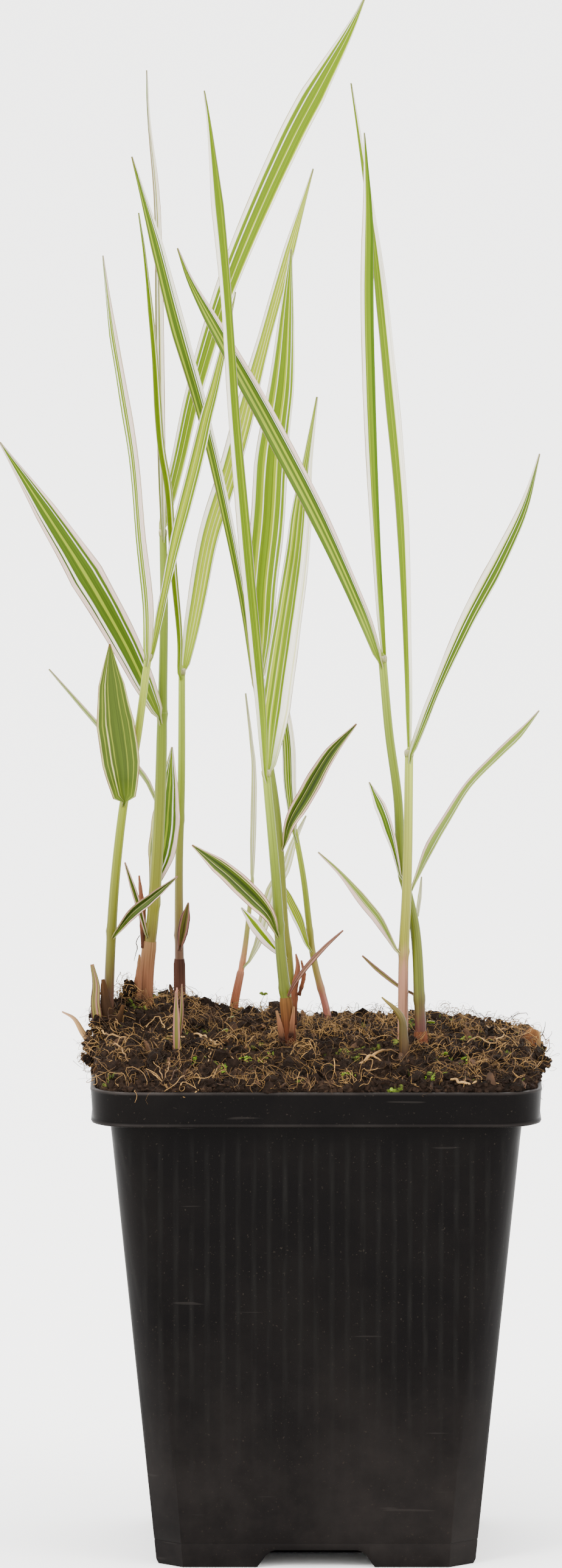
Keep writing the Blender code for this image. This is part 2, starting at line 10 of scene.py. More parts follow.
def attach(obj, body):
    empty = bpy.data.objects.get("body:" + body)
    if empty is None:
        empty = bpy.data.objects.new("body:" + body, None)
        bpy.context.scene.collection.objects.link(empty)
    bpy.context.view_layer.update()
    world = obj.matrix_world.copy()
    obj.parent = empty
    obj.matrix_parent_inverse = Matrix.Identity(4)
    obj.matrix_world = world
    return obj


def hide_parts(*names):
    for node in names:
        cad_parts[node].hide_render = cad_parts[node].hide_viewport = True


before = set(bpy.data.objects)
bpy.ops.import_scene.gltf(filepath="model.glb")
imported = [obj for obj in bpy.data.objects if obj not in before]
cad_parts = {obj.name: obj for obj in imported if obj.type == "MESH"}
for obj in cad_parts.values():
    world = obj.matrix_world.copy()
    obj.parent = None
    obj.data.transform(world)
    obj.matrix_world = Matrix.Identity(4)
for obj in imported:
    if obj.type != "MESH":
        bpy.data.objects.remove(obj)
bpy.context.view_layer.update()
mm = 0.001
print("frame loaded")

# The photograph was taken from far off with a long lens, a little above the rim
view = dict(aim=(-7.0, 0.0, 153.9), distance=2820.0, downDegrees=6.6, lens=322.5, sensor=36.0)


def srgb(code):
    # A hex colour as the linear values that Blender wants
    parts = [int(code[i:i + 2], 16) / 255 for i in (1, 3, 5)]
    return tuple(c / 12.92 if c <= 0.04045 else ((c + 0.055) / 1.055) ** 2.4 for c in parts) + (1.0,)


def addNode(tree, kind, inputs=None, **settings):
    node = tree.nodes.new(kind)
    for key, value in settings.items():
        setattr(node, key, value)
    for key, value in (inputs or {}).items():
        if isinstance(value, bpy.types.NodeSocket):
            tree.links.new(value, node.inputs[key])
        else:
            node.inputs[key].default_value = value
    return node


def addRamp(tree, factor, stops):
    # A colour ramp of at most 32 stops, given as position and hex colour
    ramp = addNode(tree, "ShaderNodeValToRGB", {"Fac": factor})
    elements = ramp.color_ramp.elements
    elements.remove(elements[1])
    elements[0].position = stops[0][0]
    elements[0].color = srgb(stops[0][1])
    for position, code in stops[1:]:
        elements.new(position).color = srgb(code)
    return ramp.outputs[0]


# Camera
camera = bpy.data.objects.new("camera", bpy.data.cameras.new("camera"))
bpy.context.scene.collection.objects.link(camera)
down = math.radians(view["downDegrees"])
aim = Vector(view["aim"]) * mm
camera.location = aim + view["distance"] * mm * Vector((0, -math.cos(down), math.sin(down)))
camera.rotation_euler = (math.pi / 2 - down, 0, 0)
camera.data.lens = view["lens"]
camera.data.sensor_width = view["sensor"]
camera.data.dof.use_dof = False
bpy.context.scene.camera = camera

# Light: a bright even room of white, and two large soft boxes in front
light = dict(world=4.4, key=60.0, fill=30.0, size=0.7)
world = bpy.data.worlds.new("softRoom")
world.use_nodes = True
world.node_tree.nodes["Background"].inputs["Color"].default_value = (1, 1, 1, 1)
world.node_tree.nodes["Background"].inputs["Strength"].default_value = light["world"]
bpy.context.scene.world = world
for name, power, place in (("keyLight", light["key"], (-1.1, -1.5, 1.5)), ("fillLight", light["fill"], (1.5, -1.2, 0.9))):
    lamp = bpy.data.lights.new(name, "AREA")
    lamp.energy = power
    lamp.size = light["size"]
    lampObject = bpy.data.objects.new(name, lamp)
    lampObject.location = place
    lampObject.rotation_euler = (Vector((0, 0, 0.15)) - Vector(place)).to_track_quat("-Z", "Y").to_euler()
    bpy.context.scene.collection.objects.link(lampObject)


def meshObject(name, mesh):
    made = bpy.data.objects.new(name, mesh)
    bpy.context.scene.collection.objects.link(made)
    return made


def materialOf(name):
    material = bpy.data.materials.new(name)
    material.use_nodes = True
    return material, material.node_tree, material.node_tree.nodes["Principled BSDF"]


# Floor: matt white board, wide enough to fill every view
floorMaterial, floorTree, floorShader = materialOf("mattWhiteBoard")
floorShader.inputs["Base Color"].default_value = srgb("#F7F6F4")
floorShader.inputs["Roughness"].default_value = 0.9
floorMesh = bpy.data.meshes.new("floor")
reach = 12.0
floorMesh.from_pydata([(-reach, -reach, 0), (reach, -reach, 0), (reach, reach, 0), (-reach, reach, 0)], [], [(0, 1, 2, 3)])
floor = meshObject("floor", floorMesh)
floorMesh.materials.append(floorMaterial)
print("camera, light and floor made")


# Routes count their heights from this height over the table, in millimetres
routeLevel = 1.5


def smoothRoute(points, count):
    # A curve through the given points, read at even lengths
    knots = [np.array(point, dtype=float) for point in points]
    knots = [2 * knots[0] - knots[1]] + knots + [2 * knots[-1] - knots[-2]]
    dense = []
    for i in range(1, len(knots) - 2):
        a, b, c, d = knots[i - 1:i + 3]
        for step in range(24):
            t = step / 24
            dense.append(0.5 * (2 * b + (c - a) * t + (2 * a - 5 * b + 4 * c - d) * t ** 2
                                + (3 * b - a - 3 * c + d) * t ** 3))
    dense.append(knots[-2])
    dense = np.array(dense)
    lengths = np.concatenate([[0], np.cumsum(np.linalg.norm(np.diff(dense, axis=0), axis=1))])
    wanted = np.linspace(0, lengths[-1], count)
    route = np.stack([np.interp(wanted, lengths, dense[:, axis]) for axis in range(3)], axis=1)
    return route + np.array([0, 0, routeLevel]), lengths[-1]


def smoothValues(values, count):
    return np.interp(np.linspace(0, 1, count), np.linspace(0, 1, len(values)), values)


def pathMesh(name, path, attributes, starts=()):
    # A polyline, or several that begin at the given points, whose points carry what the sweep needs
    mesh = bpy.data.meshes.new(name)
    mesh.from_pydata([tuple(p * mm) for p in path], [(i, i + 1) for i in range(len(path) - 1) if i + 1 not in starts], [])
    for key, values in attributes.items():
        isVector = len(np.shape(values)) == 2
        attribute = mesh.attributes.new(key, "FLOAT_VECTOR" if isVector else "FLOAT", "POINT")
        attribute.data.foreach_set("vector" if isVector else "value", np.array(values, dtype=np.float32).ravel())
    return mesh


def groupWith(name, sockets):
    tree = bpy.data.node_groups.new(name, "GeometryNodeTree")
    tree.interface.new_socket("Geometry", in_out="INPUT", socket_type="NodeSocketGeometry")
    for label, (kind, value) in sockets.items():
        socket = tree.interface.new_socket(label, in_out="INPUT", socket_type=kind)
        if value is not None:
            socket.default_value = value
    tree.interface.new_socket("Geometry", in_out="OUTPUT", socket_type="NodeSocketGeometry")
    return tree, addNode(tree, "NodeGroupInput"), addNode(tree, "NodeGroupOutput")


def runNodes(made, tree, values):
    # Set the inputs by their identifiers, then keep the result as a plain mesh
    modifier = made.modifiers.new(tree.name, "NODES")
    modifier.node_group = tree
    for item in tree.interface.items_tree:
        if item.in_out == "INPUT" and item.name in values:
            modifier[item.identifier] = values[item.name]
    bpy.context.view_layer.update()
    evaluated = made.evaluated_get(bpy.context.evaluated_depsgraph_get())
    mesh = bpy.data.meshes.new_from_object(evaluated)
    made.modifiers.remove(modifier)
    old = made.data
    made.data = mesh
    mesh.name = old.name
    return made


def math2(tree, operation, first, second):
    return addNode(tree, "ShaderNodeMath", {0: first, 1: second}, operation=operation).outputs[0]


def namedValue(tree, name, kind="FLOAT"):
    return addNode(tree, "GeometryNodeInputNamedAttribute", {"Name": name}, data_type=kind).outputs[0]


def vectorMath(tree, operation, first, second=None, scale=None):
    node = addNode(tree, "ShaderNodeVectorMath", {0: first}, operation=operation)
    for key, value in ((1, second), ("Scale", scale)):
        if isinstance(value, bpy.types.NodeSocket):
            tree.links.new(value, node.inputs[key])
        elif value is not None:
            node.inputs[key].default_value = value
    return node.outputs[0]


def makeBladeTree():
    # Sweeps a strip along the midrib, then shapes each cross-section from what the route's points carry:
    # half width, side and front directions, how far the halves rise, and how wavy the margins are
    tree, given, result = groupWith("sweepBlade", {
        "Across": ("NodeSocketInt", 17), "Rib Height": ("NodeSocketFloat", 0.00003), "Ribs": ("NodeSocketFloat", 28.0),
        "Material": ("NodeSocketMaterial", None)})
    rib = addNode(tree, "GeometryNodeMeshToCurve", {"Mesh": given.outputs["Geometry"]})
    line = addNode(tree, "GeometryNodeCurvePrimitiveLine", {"Start": (-1, 0, 0), "End": (1, 0, 0)})
    line = addNode(tree, "GeometryNodeResampleCurve", {"Curve": line.outputs[0], "Count": given.outputs["Across"]})
    place = addNode(tree, "ShaderNodeSeparateXYZ", {0: addNode(tree, "GeometryNodeInputPosition").outputs[0]}).outputs[0]
    line = addNode(tree, "GeometryNodeStoreNamedAttribute", {"Geometry": line.outputs[0], "Name": "place", "Value": place},
                   data_type="FLOAT", domain="POINT")
    swept = addNode(tree, "GeometryNodeCurveToMesh", {"Curve": rib.outputs[0], "Profile Curve": line.outputs[0],
                                                     "Scale": namedValue(tree, "halfWidth")})
    place = namedValue(tree, "place")
    half = namedValue(tree, "halfWidth")
    fold = namedValue(tree, "fold")
    along = namedValue(tree, "along")
    away = math2(tree, "ABSOLUTE", place, 0.0)
    outward = math2(tree, "MULTIPLY", math2(tree, "MULTIPLY", place, math2(tree, "COSINE", fold, 0.0)), half)
    rise = math2(tree, "MULTIPLY", math2(tree, "MULTIPLY", math2(tree, "POWER", away, 1.25), half),
                 math2(tree, "SINE", fold, 0.0))
    ribs = math2(tree, "MULTIPLY", math2(tree, "COSINE", math2(tree, "MULTIPLY", place, given.outputs["Ribs"]), 0.0),
                 given.outputs["Rib Height"])
    ripple = math2(tree, "SINE", math2(tree, "ADD", math2(tree, "MULTIPLY", along, 31.0),
                                       math2(tree, "MULTIPLY", place, 1.7)), 0.0)
    margin = math2(tree, "MULTIPLY", math2(tree, "MULTIPLY", ripple, math2(tree, "POWER", away, 3.0)),
                   math2(tree, "MULTIPLY", half, namedValue(tree, "wave")))
    lift = math2(tree, "ADD", math2(tree, "ADD", rise, ribs), margin)
    spot = vectorMath(tree, "ADD", namedValue(tree, "centre", "FLOAT_VECTOR"),
                      vectorMath(tree, "SCALE", namedValue(tree, "side", "FLOAT_VECTOR"), scale=outward))
    spot = vectorMath(tree, "ADD", spot, vectorMath(tree, "SCALE", namedValue(tree, "front", "FLOAT_VECTOR"), scale=lift))
    shaped = addNode(tree, "GeometryNodeSetPosition", {"Geometry": swept.outputs[0], "Position": spot})
    across = math2(tree, "MULTIPLY", math2(tree, "SUBTRACT", 1.0, place), 0.5)
    pair = addNode(tree, "ShaderNodeCombineXYZ", {0: across, 1: along, 2: 0.0})
    mapped = addNode(tree, "GeometryNodeStoreNamedAttribute",
                     {"Geometry": shaped.outputs[0], "Name": "UVMap", "Value": pair.outputs[0]},
                     data_type="FLOAT2", domain="CORNER")
    smooth = addNode(tree, "GeometryNodeSetShadeSmooth", {"Geometry": mapped.outputs[0]})
    whole = addNode(tree, "GeometryNodeRealizeInstances", {"Geometry": smooth.outputs[0]})
    done = addNode(tree, "GeometryNodeSetMaterial", {"Geometry": whole.outputs[0], "Material": given.outputs["Material"]})
    tree.links.new(done.outputs[0], result.inputs[0])
    return tree


def makeStemTree():
    # Sweeps a ring along the stem and stores around and along as the UV map
    tree, given, result = groupWith("sweepStem", {
        "Sides": ("NodeSocketInt", 20), "Flute": ("NodeSocketFloat", 0.02), "Material": ("NodeSocketMaterial", None)})
    core = addNode(tree, "GeometryNodeMeshToCurve", {"Mesh": given.outputs["Geometry"]})
    ring = addNode(tree, "GeometryNodeCurvePrimitiveCircle", {"Resolution": given.outputs["Sides"], "Radius": 1.0})
    turn = addNode(tree, "GeometryNodeSplineParameter").outputs["Factor"]
    grooves = math2(tree, "MULTIPLY", math2(tree, "SINE", math2(tree, "MULTIPLY", turn, 2 * math.pi * 10), 0.0),
                    given.outputs["Flute"])
    scale = math2(tree, "ADD", grooves, 1.0)
    spot = addNode(tree, "ShaderNodeVectorMath", {0: addNode(tree, "GeometryNodeInputPosition").outputs[0]}, operation="SCALE")
    tree.links.new(scale, spot.inputs["Scale"])
    ring = addNode(tree, "GeometryNodeStoreNamedAttribute", {"Geometry": ring.outputs[0], "Name": "across", "Value": turn},
                   data_type="FLOAT", domain="POINT")
    ring = addNode(tree, "GeometryNodeSetPosition", {"Geometry": ring.outputs[0], "Position": spot.outputs[0]})
    swept = addNode(tree, "GeometryNodeCurveToMesh", {"Curve": core.outputs[0], "Profile Curve": ring.outputs[0],
                                                     "Scale": namedValue(tree, "halfWidth"), "Fill Caps": True})
    pair = addNode(tree, "ShaderNodeCombineXYZ", {0: namedValue(tree, "across"), 1: namedValue(tree, "along"), 2: 0.0})
    mapped = addNode(tree, "GeometryNodeStoreNamedAttribute",
                     {"Geometry": swept.outputs[0], "Name": "UVMap", "Value": pair.outputs[0]},
                     data_type="FLOAT2", domain="CORNER")
    smooth = addNode(tree, "GeometryNodeSetShadeSmooth", {"Geometry": mapped.outputs[0]})
    whole = addNode(tree, "GeometryNodeRealizeInstances", {"Geometry": smooth.outputs[0]})
    done = addNode(tree, "GeometryNodeSetMaterial", {"Geometry": whole.outputs[0], "Material": given.outputs["Material"]})
    tree.links.new(done.outputs[0], result.inputs[0])
    return tree


# Tissue colours of the grass, as the eye sees them: w white, p pink white, c cream, l lime, g green, d dark green,
# e the thin edge line. The half shaded and shaded sets are the bright set darkened as painted shade
brightTissue = dict(w="#EFEBDF", p="#E0CFC6", c="#D2D28E", l="#9DAC1C", g="#6E860E", d="#4E6C08", e="#A29677")
halfShadedTissue = dict(w="#E2DDCD", p="#D6BFB2", c="#C0BD78", l="#84941C", g="#465E0A", d="#33480A", e="#8A7558")
shadedTissue = dict(w="#C9C2A8", p="#C29F90", c="#A09C62", l="#66701E", g="#3B4A0E", d="#28360A", e="#6F5238")
paleTissue = dict(w="#DEDACA", p="#CFB3A6", c="#C0C08E", l="#9CA858", g="#7C8E3C", d="#64782E", e="#938A72")
redTissue = dict(w="#907C68", p="#825A50", c="#67573A", l="#6A6230", g="#585824", d="#46341E", e="#40281C")

# Stripes from the left edge to the right edge, as tissue and share of the width
stripeSets = dict(
    tallLong="e1 w17 g18 w5 g28 l3 c2 g24 l5 w7 e1",
    middleLong="e1 g11 l14 g26 l5 g10 w5 g6 w18 e1",
    frontFolded="e1 w26 g50 l5 g10 d6 e1",
    slimWide="e1 w20 g6 l14 c4 l16 c5 l12 c4 l10 g4 w5 e1",
    leftBright="e1 w7 g15 l20 c4 l20 g9 c4 g14 w6 e1",
    leftWhite="g9 w8 g12 c5 g10 w6 p44 e2",
    leftUpright="e1 c3 g8 l3 g6 c3 g6 l3 g27 l2 g11 l3 g8 c3 e1",
    tallBroad="e1 p11 d4 w8 g20 l8 g20 w3 g8 p12 e1",
    slimRolled="e1 g46 l20 w14 g18 e1",
    tallRolled="e1 g12 w32 g14 c9 w30 e1",
    frontBroad="e1 w4 g10 c3 l9 g10 c3 l5 g12 c3 g8 w21 c3 w7 e1",
    middleBroad="e1 w9 g16 l8 w3 g26 l6 c3 g14 w3 g8 w5 e1",
    rightLeaning="e1 g18 l14 g12 l12 g14 d6 w3 g4 p16 e1",
    halfWhite="e1 w32 g10 l6 g30 d20 e1",
    halfGreen="e1 g36 l6 g22 c4 w32 e1",
    outerArm="e1 p22 g16 l4 g34 w3 g14 c5 e1",
    pinkEdges="e2 p9 c4 g13 d9 c3 g11 d14 g12 c4 g5 p9 e2",
    redMargin="e4 p14 g16 l6 g12 d12 g14 p17 e5",
    deadScale="e8 l18 e6 l16 p16 d10 l14 e8",
    bitten="e1 p26 w8 g30 l8 w10 p16 e1",
    purpleFold="e3 p30 g10 l6 p34 d8 e3",
    darkEdges="e3 p6 g16 d22 g10 c2 g20 d8 p6 e3",
    sproutFold="e2 p22 g30 l10 g10 p24 e2",
    roseArm="e1 p36 g10 c4 g30 c4 g10 p5",
    innerArm="e1 w20 g20 l5 g22 w6 g8 p18",
    paleArm="e1 w30 c6 g14 w4 g22 c4 g12 w4 e1",
    palest="e1 c18 l8 w22 c16 l6 w20 c8 e1",
    behindTall="e1 c6 g8 w5 g12 c4 g14 l6 g10 w4 g8 p12 e1",
    greenPlain="e1 c4 g16 d12 l4 l2 d14 g18 l6 c5 e1",
)


def makeLeafMaterial(name, stripes, tissue, baseTint, tipTint, glow):
    # Grass blade: a thin waxy skin over ribbed tissue, which lets the light behind it through
    material, tree, shader = materialOf(name)
    uv = addNode(tree, "ShaderNodeUVMap", uv_map="UVMap").outputs[0]
    split = addNode(tree, "ShaderNodeSeparateXYZ", {0: uv})
    across, along = split.outputs[0], split.outputs[1]
    # The stripes wander a little and run out before the tip
    stretch = addNode(tree, "ShaderNodeMapping", {"Vector": uv, "Scale": (7.0, 3.0, 1.0)}).outputs[0]
    wander = addNode(tree, "ShaderNodeTexNoise", {"Vector": stretch, "Scale": 2.0, "Detail": 2.0}).outputs[0]
    offset = math2(tree, "MULTIPLY", math2(tree, "SUBTRACT", wander, 0.5), 0.05)
    shifted = math2(tree, "ADD", across, offset)
    bands = [(band[0], float(band[1:])) for band in stripes.split()]
    total = sum(share for _, share in bands)
    stops, edge = [], 0.0
    for tone, share in bands:
        width = share / total
        soft = min(0.008, width * 0.3)
        stops += [(edge + soft, tissue[tone]), (edge + width - soft, tissue[tone])]
        edge += width
    striped = addRamp(tree, shifted, stops)
    # Fine veins, about three in a millimetre, shown a little coarser than they are
    veinSpace = addNode(tree, "ShaderNodeMapping", {"Vector": uv, "Scale": (34.0, 1.1, 1.0)}).outputs[0]
    veins = addNode(tree, "ShaderNodeTexNoise", {"Vector": veinSpace, "Scale": 1.0, "Detail": 3.0}).outputs[0]
    veinTone = addNode(tree, "ShaderNodeMapRange", {"Value": veins, "From Min": 0.3, "From Max": 0.7,
                                                    "To Min": 0.64, "To Max": 1.16}).outputs[0]
    lined = addNode(tree, "ShaderNodeVectorMath", {0: striped}, operation="SCALE")
    tree.links.new(veinTone, lined.inputs["Scale"])
    atBase = addNode(tree, "ShaderNodeMapRange", {"Value": along, "From Min": 0.0, "From Max": 0.14,
                                                  "To Min": 0.55, "To Max": 0.0}).outputs[0]
    based = addNode(tree, "ShaderNodeMix", {"Factor": atBase, 6: lined.outputs[0], 7: srgb(baseTint)}, data_type="RGBA")
    atTip = addNode(tree, "ShaderNodeMapRange", {"Value": along, "From Min": 0.97, "From Max": 1.0,
                                                 "To Min": 0.0, "To Max": 0.5}).outputs[0]
    tipped = addNode(tree, "ShaderNodeMix", {"Factor": atTip, 6: based.outputs[2], 7: srgb(tipTint)}, data_type="RGBA")
    colour = tipped.outputs[2]
    tree.links.new(colour, shader.inputs["Base Color"])
    shader.inputs["Roughness"].default_value = 0.42
    shader.inputs["Specular IOR Level"].default_value = 0.12
    bump = addNode(tree, "ShaderNodeBump", {"Height": veins, "Strength": 0.25, "Distance": 0.0001})
    tree.links.new(bump.outputs[0], shader.inputs["Normal"])
    through = addNode(tree, "ShaderNodeBsdfTranslucent", {"Color": colour})
    mixed = addNode(tree, "ShaderNodeMixShader", {0: glow, 1: shader.outputs[0], 2: through.outputs[0]})
    tree.links.new(mixed.outputs[0], tree.nodes["Material Output"].inputs["Surface"])
    return material


# Each set: tissue colours, base tint, tip tint and how much light passes through. The mid and dark sets, base tints
# included, are the bright set darkened as painted shade
tissueSets = dict(
    bright=(brightTissue, "#9DAE3A", "#8E8A4E", 0.55),
    mid=(halfShadedTissue, "#84963A", "#84704A", 0.40),
    dark=(shadedTissue, "#5F702A", "#6E3B2C", 0.20),
    pale=(paleTissue, "#B4BC7A", "#A8A080", 0.50),
    red=(redTissue, "#6E4A38", "#8A5648", 0.15),
)
leafMaterials = {}


def leafMaterial(stripeName, tissueName):
    key = stripeName + tissueName.capitalize()
    if key not in leafMaterials:
        tissue, baseTint, tipTint, glow = tissueSets[tissueName]
        name = "grassBlade" + key[0].upper() + key[1:]
        leafMaterials[key] = makeLeafMaterial(name, stripeSets[stripeName], tissue, baseTint, tipTint, glow)
    return leafMaterials[key]


